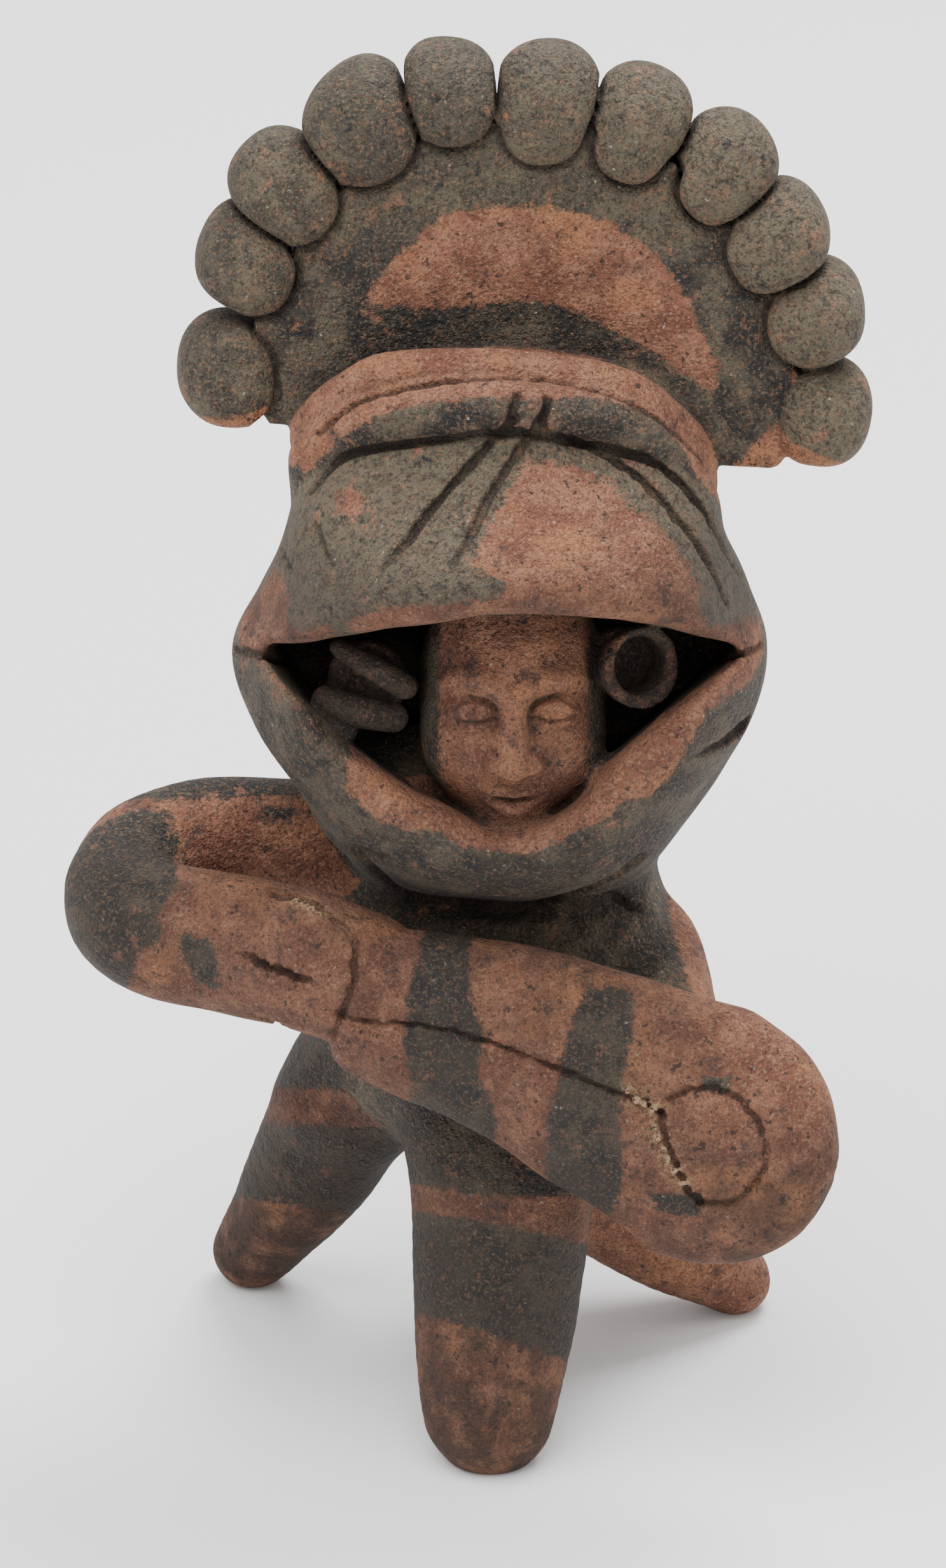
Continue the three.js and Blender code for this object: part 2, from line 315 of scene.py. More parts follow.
def stackDistance(table, x, y, z, power=2.0, along=(0, 0, 1)):
    half = np.interp(z, table[:, 0], table[:, 1])
    front = np.interp(z, table[:, 0], table[:, 2])
    back = np.interp(z, table[:, 0], table[:, 3])
    past = np.maximum(table[0, 0] - z, z - table[-1, 0])
    middle, depth = (front + back) / 2, np.maximum((back - front) / 2, 0.5)
    half = np.maximum(half, 0.5)
    f = (np.abs(x / half) ** power + np.abs((y - middle) / depth) ** power) ** (1 / power) - 1
    # distance within the section, then less where the wall leans
    grad = np.gradient(f, step)
    lean = sum(g * a for g, a in zip(grad, along))
    flat = np.sqrt(np.maximum(sum(g * g for g in grad) - lean * lean, 1e-6))
    leaning = np.clip(np.abs(lean) / flat, 0, 2.5)
    return np.maximum(f / flat / np.sqrt(1 + leaning * leaning), past).astype(np.float32)


def addStack(sections, soft, name):
    table = sectionTable(sections)
    width = table[:, 1].max()
    where, x, y, z = window((-width - 4, table[:, 2].min() - 4, table[0, 0] - 4),
                            (width + 4, table[:, 3].max() + 4, table[-1, 0] + 4))
    x, y, z = np.broadcast_arrays(x, y, z)
    join(where, stackDistance(table, x, y, z), soft, name)


def sampleClay(points, grid=None):
    grid = clay if grid is None else grid
    at = (np.atleast_2d(points) - low) / step
    at = np.clip(at, 0, np.array(grid.shape) - 1.001)
    i = at.astype(int)
    t = at - i
    out = 0
    for corner in np.ndindex(2, 2, 2):
        weight = 1
        for k, far in enumerate(corner):
            weight = weight * (t[:, k] if far else 1 - t[:, k])
        out = out + weight * grid[tuple((i + corner).T)]
    return out


def surfaceAlong(start, direction, reach=150.0):
    # walks from start until it meets the clay
    start, direction = np.array(start, float), np.array(direction, float)
    direction /= np.linalg.norm(direction)
    walk = np.arange(0, reach, step * 0.4)
    values = sampleClay(start + walk[:, None] * direction)
    hit = np.argmax(values < 0)
    if values[hit] >= 0:
        return start + direction * reach
    a, b = values[hit - 1], values[hit]
    return start + direction * (walk[hit - 1] + (walk[hit] - walk[hit - 1]) * a / (a - b))


def unsteady(line, shake):
    # an unsteady hand: the path wavers a little and its width changes
    rng = np.random.default_rng(len(line))
    line = line.copy()
    line[:, :2] += rng.normal(0, shake, (len(line), 2))
    line[:, 2] *= rng.uniform(0.8, 1.25, len(line)) if shake else 1
    return line


# lines are drawn from where the camera looks, or from straight ahead: tilt in degrees, and starting place

fromCamera = (25, -110)
fromAhead = (0, -30)


def onSurface(points, view, sink, shake=0.0):
    # a path laid on the clay: points are x, height in the view, radius, depth
    tilt, start = view
    a = math.radians(tilt)
    ahead = np.array([0, math.cos(a), -math.sin(a)])
    up = np.array([0, math.sin(a), math.cos(a)])
    path = []
    for x, height, radius, depth in unsteady(smoothLine(points, 6), shake):
        hit = surfaceAlong(np.array([x, 0, 0]) + height * up + start * ahead, ahead)
        path.append([*(hit + ahead * depth * sink), radius])
    return path


def cutLine(path, soft):
    # a line drawn in the clay, remembered so that it can be darkened
    where, distance = coilDistance(path, 2.0, 1)
    cut(where, distance, soft)
    lines[where] = np.minimum(lines[where], distance)


def cutOnSurface(points, view=fromCamera, soft=0.2, shake=0.0):
    cutLine(onSurface(points, view, 1, shake), soft)


def addOnSurface(points, soft, name):
    where, distance = coilDistance(onSurface(points, fromAhead, -1), soft + 1.5, 1)
    join(where, distance, soft, name)


# body and limbs

body = {
    "torso": [[25.5, 4, -3, 8], [31, 14, -12, 14], [38, 19, -17, 16.5], [46, 20.5, -18.5, 18],
              [54, 20.8, -19, 18.5], [59, 20.4, -17.8, 17.5], [63, 19.2, -14.5, 15.5],
              [66.5, 14, -9.5, 11], [68.5, 4, -4, 5]],
    "frontLeg": [[0.6, -10, 40, 12.5], [0, -18, 30, 11.4], [-0.9, -24.3, 17.5, 9.6],
                 [-1.9, -30.6, 6.4, 6.9]],
    "sideLeg": [[-12, 2, 40, 11], [-17.5, 4.5, 32.8, 10.4], [-20.8, 7, 26.2, 9], [-26.3, 10.5, 14.3, 7.2],
                [-31.6, 13.5, 5.2, 5.4]],
    "tail": [[2, 3, 34, 14], [10, 4.2, 24.5, 12], [20, 5.6, 14, 8.6], [29, 7, 5, 5.1]],
    "bentArm": [[-12, 2, 65, 7.5], [-23.5, 4, 67, 7.1], [-34, 4, 67.4, 7], [-43, 0.5, 66.2, 7.6],
                [-45.4, -5.5, 64.2, 7.9], [-42.5, -11, 62.6, 8.2], [-34, -14.5, 62.1, 8.4],
                [-25, -18.5, 62, 8.3], [-17.5, -22, 61.6, 7.7]],
    "straightArm": [[12, 4, 56, 7], [17.2, 1, 54.5, 6.8], [19, -6, 52.5, 6.6], [19.8, -15, 51, 6.4],
                    [20, -24, 50, 6]],
    "limbBlend": 3.5,
    "floor": 0.6,
}


def modelBody():
    addStack(body["torso"], 0, "torso")
    for limb in ("frontLeg", "sideLeg", "tail"):
        addCoil(body[limb], body["limbBlend"], limb)
    addCoil(body["straightArm"], 2.0, "straightArm")
    addCoil(body["bentArm"], 2.5, "bentArm")
    print("body and limbs")


# hood: a bird's head with the beak open, a brow band of two ridges, and the cuts drawn in it

hood = {
    "sections": [[56, 12, -6, 11.6], [60, 18.6, -10.5, 17], [66, 19, -12.5, 18.4],
                 [70.5, 19.7, -20.5, 18.9], [76, 22.3, -27, 19.4], [82, 25.6, -30, 20.4],
                 [89, 29.8, -31.5, 20.8], [97, 31.6, -33, 20.8], [104, 29.2, -34.8, 20.8],
                 [110, 27, -34.6, 20.4], [114, 25.6, -32, 20], [119, 24.1, -26, 18.6],
                 [125, 22.2, -18.5, 15.8], [129.5, 18.5, -14, 12.4], [132, 12, -10, 7],
                 [133.5, 2, -5, 1]],
    "beakSlope": 20,
    "beakBack": 34,
    # room for the beak's outline, and for the cut that opens it
    "beakGrid": ((-40, 40, 0.3), (55, 110, 0.3)),
    "beakBox": ((-34, -42, 70), (34, 8, 122)),
    "upperLip": [[-27.6, 89.7], [-21.6, 90.6], [-12.7, 93.5], [0.5, 94.7], [12.3, 93.7], [21.3, 91.5],
                 [27.4, 89.4]],
    "lowerLip": [[24.0, 86.4], [18.5, 81.7], [12.4, 76.5], [8.3, 71.6], [0.6, 68.2], [-7.6, 71.4],
                 [-15.5, 76.2], [-24.5, 85]],
    "lipRound": (6.5, 1.2),
    "lipCorners": (19.0, 26.5),
    "shake": 0.09,
    "innerWall": ([-10, -8.5, 80], [7.5, 6, 9]),
    "upperRidge": [[-22.5, 0.5, 118.5, 2.6], [-21.4, -3.5, 124.2, 2.8], [-15.6, -6.6, 130.8, 2.9],
                   [-6.8, -8.8, 133.3, 2.9], [0.6, -9.5, 133.9, 2.9], [11.5, -8.4, 131.2, 2.9],
                   [19, -5.8, 125.6, 2.8], [22.8, -2.2, 118.6, 2.6], [23.2, 1.5, 113, 2.4]],
    "lowerRidge": [[-22.6, -2, 115, 2.8], [-21.6, -6.4, 121.7, 3], [-15.6, -10.4, 127.8, 3.3],
                   [-6.8, -13.1, 130.8, 3.5], [0.6, -13.8, 131.3, 3.5], [11.2, -12.4, 129.2, 3.4],
                   [19, -8.8, 123.2, 3.2], [22.6, -4.4, 115.6, 2.9], [23.6, -0.5, 109, 2.4]],
    # drawn lines: x, height in the view from above, half width, depth of the middle
    "cuts": [
        [[1.6, 111.6, 0.45, 0.3], [-1.0, 109.4, 0.5, 0.4], [-6.8, 102.5, 0.62, 0.55],
         [-10.5, 98, 0.62, 0.5], [-14.4, 93.6, 0.3, 0.0]],
        [[5.0, 112.6, 0.4, 0.3], [3.4, 110.4, 0.5, 0.3], [-0.2, 104.7, 0.55, 0.3], [-3.1, 99.5, 0.5, 0.2],
         [-6.0, 93.9, 0.3, 0.0]],
        [[8, 109.4, 0.5, 0.3], [14.3, 105.6, 0.62, 0.6], [19.1, 101.1, 0.75, 0.7],
         [23.3, 95.7, 0.75, 0.6], [26.2, 90, 0.3, 0.1]],
        [[15.8, 108, 0.3, 0.0], [19.9, 104.7, 0.45, 0.2], [23.8, 100.6, 0.45, 0.2], [25.7, 97, 0.4, 0.1],
         [27.7, 94, 0.3, 0.0]],
        [[-22.2, 100, 0.3, 0.0], [-21.1, 97.1, 0.4, 0.1], [-20, 94.3, 0.3, 0.0]],
        [[-26.4, 97, 0.3, 0.0], [-25.5, 95.4, 0.35, 0.1], [-24.9, 93.9, 0.3, 0.0]],
        [[0.6, 110.4, 0.5, 0.4], [0.9, 112.2, 0.5, 0.4], [1.5, 113.9, 0.5, 0.2]],
        [[4.4, 110.4, 0.5, 0.4], [4.5, 112, 0.5, 0.4], [4.9, 113.6, 0.5, 0.2]],
        [[22.6, 72.4, 0.3, 0.0], [24.8, 73.6, 0.6, 0.4], [27.0, 75.0, 0.9, 0.7], [29.0, 76.6, 1.2, 0.6]],
        [[-17.8, 61.9, 0.3, 0.0], [-15.6, 61, 0.6, 0.3], [-13.6, 60.4, 0.3, 0.0]],
        [[12.2, 56.2, 0.4, 0.1], [14.4, 55, 0.6, 0.4], [16.6, 53.7, 0.4, 0.0]],
        [[-31.8, 85.1, 0.4, 0.3], [-29.5, 84.6, 0.5, 0.4], [-27.6, 84, 0.6, 0.4],
         [-25.4, 83.7, 0.5, 0.2]],
        [[30.6, 85.6, 0.4, 0.2], [28.2, 84.5, 0.5, 0.4], [26.3, 83.9, 0.6, 0.3], [24.6, 83.6, 0.5, 0.1]],
    ],
    # thin groove between the two ridges, deeper ones under the lower ridge and under the beak
    "ridgeGroove": [[-21.8, 110, 0.4, 0.2], [-18, 112.9, 0.5, 0.5], [-14.2, 114.3, 0.5, 0.5],
                    [-6.8, 115.6, 0.5, 0.5], [0.6, 116.1, 0.5, 0.5], [8, 115.4, 0.5, 0.5],
                    [15.4, 113, 0.45, 0.4], [21.1, 109.3, 0.4, 0.3], [23.4, 106.8, 0.3, 0.1]],
    "underRidge": [[-22.6, 103.4, 0.45, 0.2], [-19.5, 106.6, 0.6, 0.5], [-16.5, 108, 0.65, 0.6],
                   [-6.8, 109.3, 0.65, 0.6], [0.6, 110.1, 0.8, 0.6], [8, 109.2, 0.85, 0.6],
                   [15.4, 107.4, 0.7, 0.6], [19.2, 105.3, 0.65, 0.5], [21.8, 102.9, 0.6, 0.4],
                   [24.2, 99.6, 0.45, 0.2]],
    "underBeak": [[-17.5, 61.2, 0.8, 0.2], [-14.5, 58, 1.3, 0.8], [-10.8, 56.1, 1.6, 1.4],
                  [-0.8, 54.8, 1.8, 1.8], [4.5, 55.2, 1.7, 1.6], [12, 57.4, 1.4, 1.0],
                  [15.8, 60, 0.9, 0.3]],
}


def beakPlane(y, z):
    a = math.radians(hood["beakSlope"])
    return y * math.cos(a) - z * math.sin(a), y * math.sin(a) + z * math.cos(a)


def lookUp(table, gridX, gridV, x, v):
    i = np.clip((x - gridX[0]) / (gridX[1] - gridX[0]), 0, len(gridX) - 1.001)
    j = np.clip((v - gridV[0]) / (gridV[1] - gridV[0]), 0, len(gridV) - 1.001)
    i0, j0 = i.astype(int), j.astype(int)
    s, t = i - i0, j - j0
    return (table[i0, j0] * (1 - s) * (1 - t) + table[i0 + 1, j0] * s * (1 - t)
            + table[i0, j0 + 1] * (1 - s) * t + table[i0 + 1, j0 + 1] * s * t)


def openBeak():
    loop = smoothLoop(hood["upperLip"] + hood["lowerLip"], 6)
    gridX, gridV = [np.arange(*span) for span in hood["beakGrid"]]
    table = -insideOutline(loop, *np.meshgrid(gridX, gridV, indexing="ij"))
    where, x, y, z = window(*hood["beakBox"])
    depth, v = beakPlane(y, z)
    x, v = np.broadcast_arrays(x, v)
    shape = lookUp(table, gridX, gridV, x, v)
    middle, corner = hood["lipRound"]
    soft = middle + (corner - middle) * ramp(np.abs(x), *hood["lipCorners"])
    cut(where, np.maximum(shape, depth + hood["beakBack"]).astype(np.float32), soft.astype(np.float32))


def modelHood():
    addStack(hood["sections"], 1.5, "hood")
    openBeak()
    addBall(*hood["innerWall"], 3.0, "hood")
    addCoil(hood["upperRidge"], 0.7, "upperRidge")
    addCoil(hood["lowerRidge"], 0.9, "lowerRidge")
    print("hood and beak")


def drawHoodCuts():
    for line in hood["cuts"]:
        cutOnSurface(line, shake=hood["shake"])
    cutOnSurface(hood["ridgeGroove"], shake=hood["shake"])
    cutOnSurface(hood["underRidge"], soft=0.4)
    cutOnSurface(hood["underBeak"], soft=1.5)


# face: calm and plain, on usual proportions, with spools at the ears

face = {
    "middle": 1.2,
    "oval": ([1.2, -11, 94], [11.4, 14, 19]),
    "chin": ([1.2, -19.2, 82.2], [4.2, 4.2, 3.2]),
    "cheek": ([6.2, -17.6, 90.0], [4.2, 5.0, 4.8]),
    "socket": ([4.7, -25.3, 96.3], [4.1, 3.2, 3.0]),
    "eye": ([4.7, -21.7, 96.1], [3.1, 2.3, 2.1]),
    # lines laid on the face: distance from its middle, height, radius, lift
    "brow": [[1.6, 99.6, 0.6, 0.0], [3.6, 100.5, 0.9, 0.1], [6.2, 100.2, 0.8, 0.1],
             [8.6, 98.6, 0.4, 0.0]],
    "upperLid": [[1.9, 95.9, 0.3, 0.0], [3.4, 97.2, 0.45, 0.15], [5.6, 97.4, 0.45, 0.15],
                 [7.6, 95.9, 0.3, 0.0]],
    "lowerLid": [[2.0, 95.5, 0.25, 0.0], [4.7, 94.4, 0.36, 0.1], [7.4, 95.5, 0.25, 0.0]],
    "slit": [[2.0, 95.8, 0.26, 0.1], [4.7, 95.3, 0.34, 0.2], [7.5, 95.8, 0.26, 0.1]],
    "nose": [[1.2, -23.4, 99.6, 1.0], [1.2, -24.8, 96.2, 1.2], [1.2, -25.9, 92.8, 1.5],
             [1.2, -26.3, 91, 1.8]],
    "nostril": ([2.1, -25.2, 90.6], [1.4, 1.6, 1.2]),
    "upperLip": [[-4.0, 86.0, 0.4, 0.0], [-1.5, 86.8, 0.8, 0.2], [0, 86.5, 0.75, 0.2],
                 [1.5, 86.8, 0.8, 0.2], [4.0, 86.0, 0.4, 0.0]],
    "lowerLip": [[-3.4, 85.1, 0.4, 0.0], [0, 84.1, 1.1, 0.2], [3.4, 85.1, 0.4, 0.0]],
    "mouthLine": [[-4.1, 85.9, 0.26, 0.1], [0, 85.5, 0.36, 0.25], [4.1, 85.9, 0.26, 0.1]],
}

# behind its rim a spool narrows: by what share, and between which distances
spoolTaper = (0.14, 1.5, 5)

spools = [
    {"centre": [16.4, -19.0, 100.3], "facing": [0.42, -0.86, 0.2],
     "radius": 5.0, "hole": 3.3, "depth": 5, "length": 18, "rolls": []},
    {"centre": [-16.4, -15.6, 97.0], "facing": [-0.3, -0.9, 0.1],
     "radius": 5.0, "hole": 0, "depth": 0, "length": 18,
     # rolls of clay pressed on this one
     "rolls": [[[-19.4, -16.4, 101.6, 1.5], [-15.4, -17.8, 99.7, 1.8], [-11.6, -17.6, 97.2, 1.6]],
                 [[-21, -16.6, 95.2, 1.8], [-17, -18, 94.2, 2.1], [-13, -17.6, 93.2, 1.8]],
                 [[-20.8, -16.8, 92.8, 1.4], [-18.6, -17.6, 91.6, 1.5]]]},
]


def fromMiddle(points, side=1):
    # points given from the middle of the face, put on one side of it
    return [[face["middle"] + side * a, *rest] for a, *rest in points]


def faceLump(name, side):
    centre, half = face[name]
    return fromMiddle([centre], side)[0], half


def modelSpool(spool):
    facing = np.array(spool["facing"]) / np.linalg.norm(spool["facing"])
    place = axisFrame(spool["centre"], -facing, [0, 0, 1])
    r, deep = spool["radius"], spool["length"]
    ends = np.array([place["origin"], place["origin"] - facing * deep])
    where, x, y, z = window(ends.min(axis=0) - r - 3, ends.max(axis=0) + r + 3)
    f, u, s = intoFrame(place, x, y, z)
    flat = np.sqrt(f * f + u * u)
    share, begins, full = spoolTaper
    tube = np.maximum(flat - r * (1 - share * ramp(s, begins, full)), np.maximum(-s, s - deep))
    join(where, tube.astype(np.float32), 0.8, "spool")
    for roll in spool["rolls"]:
        addCoil(roll, 0.5, "spool")
    if spool["hole"]:
        hole = np.maximum(flat - spool["hole"], s - spool["depth"])
        cut(where, hole.astype(np.float32), 1.0)


def modelFace():
    addBall(*face["oval"], 0.8, "face")
    addBall(*face["chin"], 1.6, "face")
    for side in (-1, 1):
        addBall(*faceLump("cheek", side), 3.0, "face")
        cutBall(*faceLump("socket", side), 1.2)
    addCoil(face["nose"], 1.6, "face")
    for side in (-1, 1):
        addBall(*faceLump("nostril", side), 0.9, "face")
        addBall(*faceLump("eye", side), 0.5, "face")
    for spool in spools:
        modelSpool(spool)
    print("face and spools")


def drawFaceLines():
    # brows, lids and lips are laid on after the surface has been worked, so that they stay crisp
    for side in (-1, 1):
        for line, soft in (("brow", 1.6), ("upperLid", 0.35), ("lowerLid", 0.5)):
            addOnSurface(fromMiddle(face[line], side), soft, "face")
        cutOnSurface(fromMiddle(face["slit"], side), fromAhead, 0.2)
    for line in ("lowerLip", "upperLip"):
        addOnSurface(fromMiddle(face[line]), 0.7, "face")
    cutOnSurface(fromMiddle(face["mouthLine"]), fromAhead, 0.3)


# crest: a fan leaning back behind the brow, with pressed-on pellets round its rim

crest = {
    "centre": [2.2, 2.5, 128],
    "lean": 9,
    "roll": -6.5,
    "radius": 33.0,
    "thickness": 8.0,
    "soffit": -7.5,
    "round": 2.0,
    # angle, distance of the middle, half length outwards, half length along the rim
    "pellets": [[177, 34.4, 6.3, 6.6], [155.7, 35, 7.1, 6.1], [139.4, 35.6, 7.1, 6.2],
                [121.2, 35.9, 7.5, 7.2], [103.7, 35.4, 6, 6], [85.6, 33.5, 7.3, 6.3],
                [66.2, 32.8, 7.1, 5.9], [47.3, 33.8, 7, 5.9], [30.3, 33.9, 6.8, 6.1],
                [13.2, 34.8, 6.7, 6.1], [-6.6, 35.7, 6.2, 6.6]],
    "pelletForm": {"Pellet Depth": 6.4, "Squash": 0.06, "Squareness": 2.35, "Seed": 11},
    # half width and depth of the groove between two pellets
    "pelletCrease": (0.8, 1.0),
}


def crestPlace():
    a = math.radians(crest["lean"])
    return axisFrame(crest["centre"], [1, 0, 0], [0, math.sin(a), math.cos(a)])


def modelCrest():
    place = crestPlace()
    r, t, edge = crest["radius"], crest["thickness"] / 2, crest["round"]
    c = place["origin"]
    where, x, y, z = window(c - [r + 3, 12, 14], c + [r + 3, 16, r + 4])
    f, u, s = intoFrame(place, x, y, z)
    rim = np.sqrt(u * u + s * s) - r + edge
    side = np.abs(f) - t + edge
    outside = np.sqrt(np.maximum(rim, 0) ** 2 + np.maximum(side, 0) ** 2)
    fan = outside + np.minimum(np.maximum(rim, side), 0) - edge
    roll = math.radians(crest["roll"])
    under = crest["soffit"] - (u * math.cos(roll) - s * math.sin(roll))
    fan = -smoothMin(-fan, -under, 2.0)
    join(where, fan.astype(np.float32), 0.8, "crest")
    print("crest")


def pelletTree():
    # one rounded cube of clay on each point, turned and sized by the point's own values
    tree = bpy.data.node_groups.new("pelletsOnRim", "GeometryNodeTree")
    sockets = {"Geometry": "Geometry", "Pellet Depth": "Float", "Squash": "Float",
               "Squareness": "Float", "Seed": "Int"}
    for name, kind in sockets.items():
        tree.interface.new_socket(name, in_out="INPUT", socket_type="NodeSocket" + kind)
    tree.interface.new_socket("Geometry", in_out="OUTPUT", socket_type="NodeSocketGeometry")
    n = Nodes(tree)
    into, out = n.add("NodeGroupInput").outputs, n.add("NodeGroupOutput")

    def named(name):
        node = n.add("GeometryNodeInputNamedAttribute", data_type="FLOAT")
        n.put(node, Name=name)
        return node.outputs["Attribute"]

    cube = n.add("GeometryNodeMeshCube")
    n.put(cube, Size=(2, 2, 2))
    finer = n.add("GeometryNodeSubdivideMesh")
    n.put(finer, Mesh=cube.outputs["Mesh"], Level=4)
    # every point moves to x^n + y^n + z^n = 1, a ball that is a little square
    spot = n.add("GeometryNodeInputPosition").outputs[0]
    square = into["Squareness"]
    powers = n.vector("POWER", n.vector("ABSOLUTE", spot)[0], n.combined(square, square, square))[0]
    total = n.vector("DOT_PRODUCT", powers, (1, 1, 1))["Value"]
    shrink = n.math("POWER", total, n.math("DIVIDE", -1.0, square))
    rounder = n.add("GeometryNodeSetPosition")
    n.put(rounder, Geometry=finer.outputs["Mesh"], Position=n.scaled(spot, shrink))
    # no two pellets are equally deep
    uneven = n.add("FunctionNodeRandomValue", data_type="FLOAT")
    n.fill(uneven.inputs[2], n.math("SUBTRACT", 1.0, into["Squash"]))
    n.fill(uneven.inputs[3], n.math("ADD", 1.0, into["Squash"]))
    n.put(uneven, Seed=into["Seed"])
    deep = n.math("MULTIPLY", into["Pellet Depth"], uneven.outputs[1])
    place = n.add("GeometryNodeInstanceOnPoints")
    n.put(place, Points=into["Geometry"], Instance=rounder.outputs["Geometry"])
    n.put(place, Rotation=n.combined(y=named("turn")))
    n.put(place, Scale=n.combined(named("outwards"), deep, named("alongRim")))
    real = n.add("GeometryNodeRealizeInstances")
    n.put(real, Geometry=place.outputs["Instances"])
    n.put(out, Geometry=real.outputs["Geometry"])
    return tree


def pelletMesh():
    # the row of points stands upright; its lean is put in afterwards
    pellets = crest["pellets"]
    mesh = bpy.data.meshes.new("pelletPoints")
    points = [(d * math.cos(math.radians(a)), 0, d * math.sin(math.radians(a))) for a, d, _, _ in pellets]
    mesh.from_pydata(points, [], [])
    giveValues(mesh, "turn", [-math.radians(pellet[0]) for pellet in pellets])
    giveValues(mesh, "outwards", [pellet[2] for pellet in pellets])
    giveValues(mesh, "alongRim", [pellet[3] for pellet in pellets])
    row = bpy.data.objects.new("pelletRow", mesh)
    bpy.context.collection.objects.link(row)
    lumps = row.modifiers.new("pellets", "NODES")
    lumps.node_group = pelletTree()
    for item in lumps.node_group.interface.items_tree:
        if item.in_out == "INPUT" and item.name in crest["pelletForm"]:
            lumps[item.identifier] = crest["pelletForm"][item.name]
    made = bpy.data.meshes.new_from_object(row.evaluated_get(bpy.context.evaluated_depsgraph_get()))
    bpy.data.objects.remove(row)
    return made


def modelPellets():
    place = crestPlace()
    made = pelletMesh()
    at = vertexArray(made)
    at = place["origin"] + at * (1, 0, 0) + at[:, 2:3] * place["up"] + at * (0, 1, 0)
    quads = np.array([list(p.vertices) for p in made.polygons], np.uint32)
    total = len(crest["pellets"])
    each, faces = len(at) // total, len(quads) // total
    for k in range(total):
        # each pellet is its own lump, so the joins between them stay sharp
        part = at[k * each:(k + 1) * each]
        where, x, y, z = window(part.min(0) - 2, part.max(0) + 2)
        corner = low + step * np.array([s.start for s in where])
        own = quads[k * faces:(k + 1) * faces] - np.uint32(k * each)
        grid = openvdb.FloatGrid.createLevelSetFromPolygons(
            ((part - corner) / step).astype(np.float32), quads=own,
            transform=openvdb.createLinearTransform(1.0), halfWidth=5.0)
        out = np.empty((x.size, y.size, z.size), np.float32)
        grid.copyToArray(out)
        crease = crest["pelletCrease"] if k < total - 1 else None
        join(where, out * step, 0.2, "pellet%d" % k, crease)
    print("pellets")


# club: a long coil folded back on itself and pressed flat, with a plug in the loop

club = {
    "loopCentre": [24.1, -32, 44.6],
    "handEnd": [-18.3, -23, 61.3],
    "tiltBack": 10,
    # distance towards the hand, half thickness, lower and upper edge
    "sections": [[-15.9, 0.8, -1.5, 1.5], [-14.6, 3.6, -6.2, 6.2], [-11, 5.4, -11.4, 11.4],
                 [-6, 6.1, -14.6, 14.6], [0, 6.4, -15.7, 15.8], [5, 6.5, -13.9, 15.6],
                 [11, 6.5, -12.2, 15.2], [20, 6.5, -10.9, 14.2], [28, 6.4, -10.5, 12.8],
                 [36, 6.2, -10.2, 10.3], [43, 5.6, -8.8, 7.6], [47, 2.4, -3.6, 3.2]],
    "seam": [[5.8, 2.6], [10.2, 2.7], [17.6, 2.6], [25.7, 2.2], [30.4, 1.7], [36.3, 0.4], [42, -1.9],
             [46, -2.6]],
    "shake": 0.14,
    "plug": [[6.2, 4.6], [3.2, 7.4], [-0.3, 8.2], [-4.4, 6.6], [-7.0, 3.6], [-7.5, 0.4], [-6.6, -2.7],
             [-4.4, -4.7], [-2.6, -5.4]],
    "plugCrack": [[6.4, 2.6], [4.6, 0.2], [2.3, -2.3], [-0.2, -4.6], [-2.6, -5.6]],
}


def clubPlace():
    a = math.radians(club["tiltBack"])
    start = np.array(club["loopCentre"], float)
    return axisFrame(start, np.array(club["handEnd"]) - start, [0, math.sin(a), math.cos(a)])


def modelClub():
    place = clubPlace()
    c = place["origin"]
    end = np.array(club["handEnd"])
    where, x, y, z = window(np.minimum(c, end) - 20, np.maximum(c, end) + 20)
    x, y, z = np.broadcast_arrays(x, y, z)
    f, u, s = intoFrame(place, x, y, z)
    table = sectionTable(club["sections"])
    lump = stackDistance(table, f, u, s, 2.35, place["along"])
    # the two runs of the coil bulge a little on either side of the seam
    line = smoothLine(club["seam"], 4)
    seamAt = np.interp(s, line[:, 0], line[:, 1])
    fade = ramp(s, 3, 7) * (1 - ramp(s, 46, 50))
    valley = np.exp(-((u - seamAt) / 1.5) ** 2) * 0.55 * fade * (f > 0)
    join(where, (lump + valley).astype(np.float32), 0.6, "club")
    print("club")


def clubLine(points, radius, depth):
    place = clubPlace()
    path = []
    for s, u, wide in unsteady(smoothLine([[a, b, radius] for a, b in points], 8), club["shake"]):
        hit = surfaceAlong(outOfFrame(place, 14, u, s), -place["front"], 20)
        path.append([*(hit - place["front"] * depth), wide])
    return path


def drawClubCuts():
    # half width and depth of each line
    for name, radius, depth in (("seam", 0.34, 0.35), ("plug", 0.36, 0.3), ("plugCrack", 0.42, 0.4)):
        cutLine(clubLine(club[name], radius, depth), 0.2)


# cracks and slits where the hand was pressed on the club

hand = {
    # x, height in the view from above, half width, depth
    "endCrack": [[-27.8, 56.2, 0.3, 0.1], [-25.2, 55.4, 0.6, 0.6], [-23.2, 54.7, 0.7, 0.7],
                 [-20.5, 53.3, 0.45, 0.4], [-18.2, 51.2, 0.4, 0.35], [-17.4, 49, 0.45, 0.4],
                 [-18, 44.6, 0.42, 0.35], [-19.2, 41.6, 0.4, 0.3], [-20.3, 39.4, 0.34, 0.2]],
    "slit": [[-31.6, 49.1, 0.3, 0.0], [-29.6, 48.4, 0.5, 0.5], [-27.4, 47.5, 0.6, 0.7],
             [-25.2, 46.7, 0.55, 0.6], [-23.2, 46, 0.4, 0.3], [-21.8, 45.4, 0.25, 0.0]],
    "lowCrack": [[-30, 41.6, 0.3, 0.0], [-27.6, 40.7, 0.45, 0.4], [-25.4, 39.8, 0.45, 0.4],
                 [-23.4, 39, 0.3, 0.0]],
    "shake": 0.16,
}


def drawHandCuts():
    for name in ("endCrack", "slit", "lowCrack"):
        cutOnSurface(hand[name], shake=hand["shake"])


# pale crumbs of soil and straw caught in the cracks

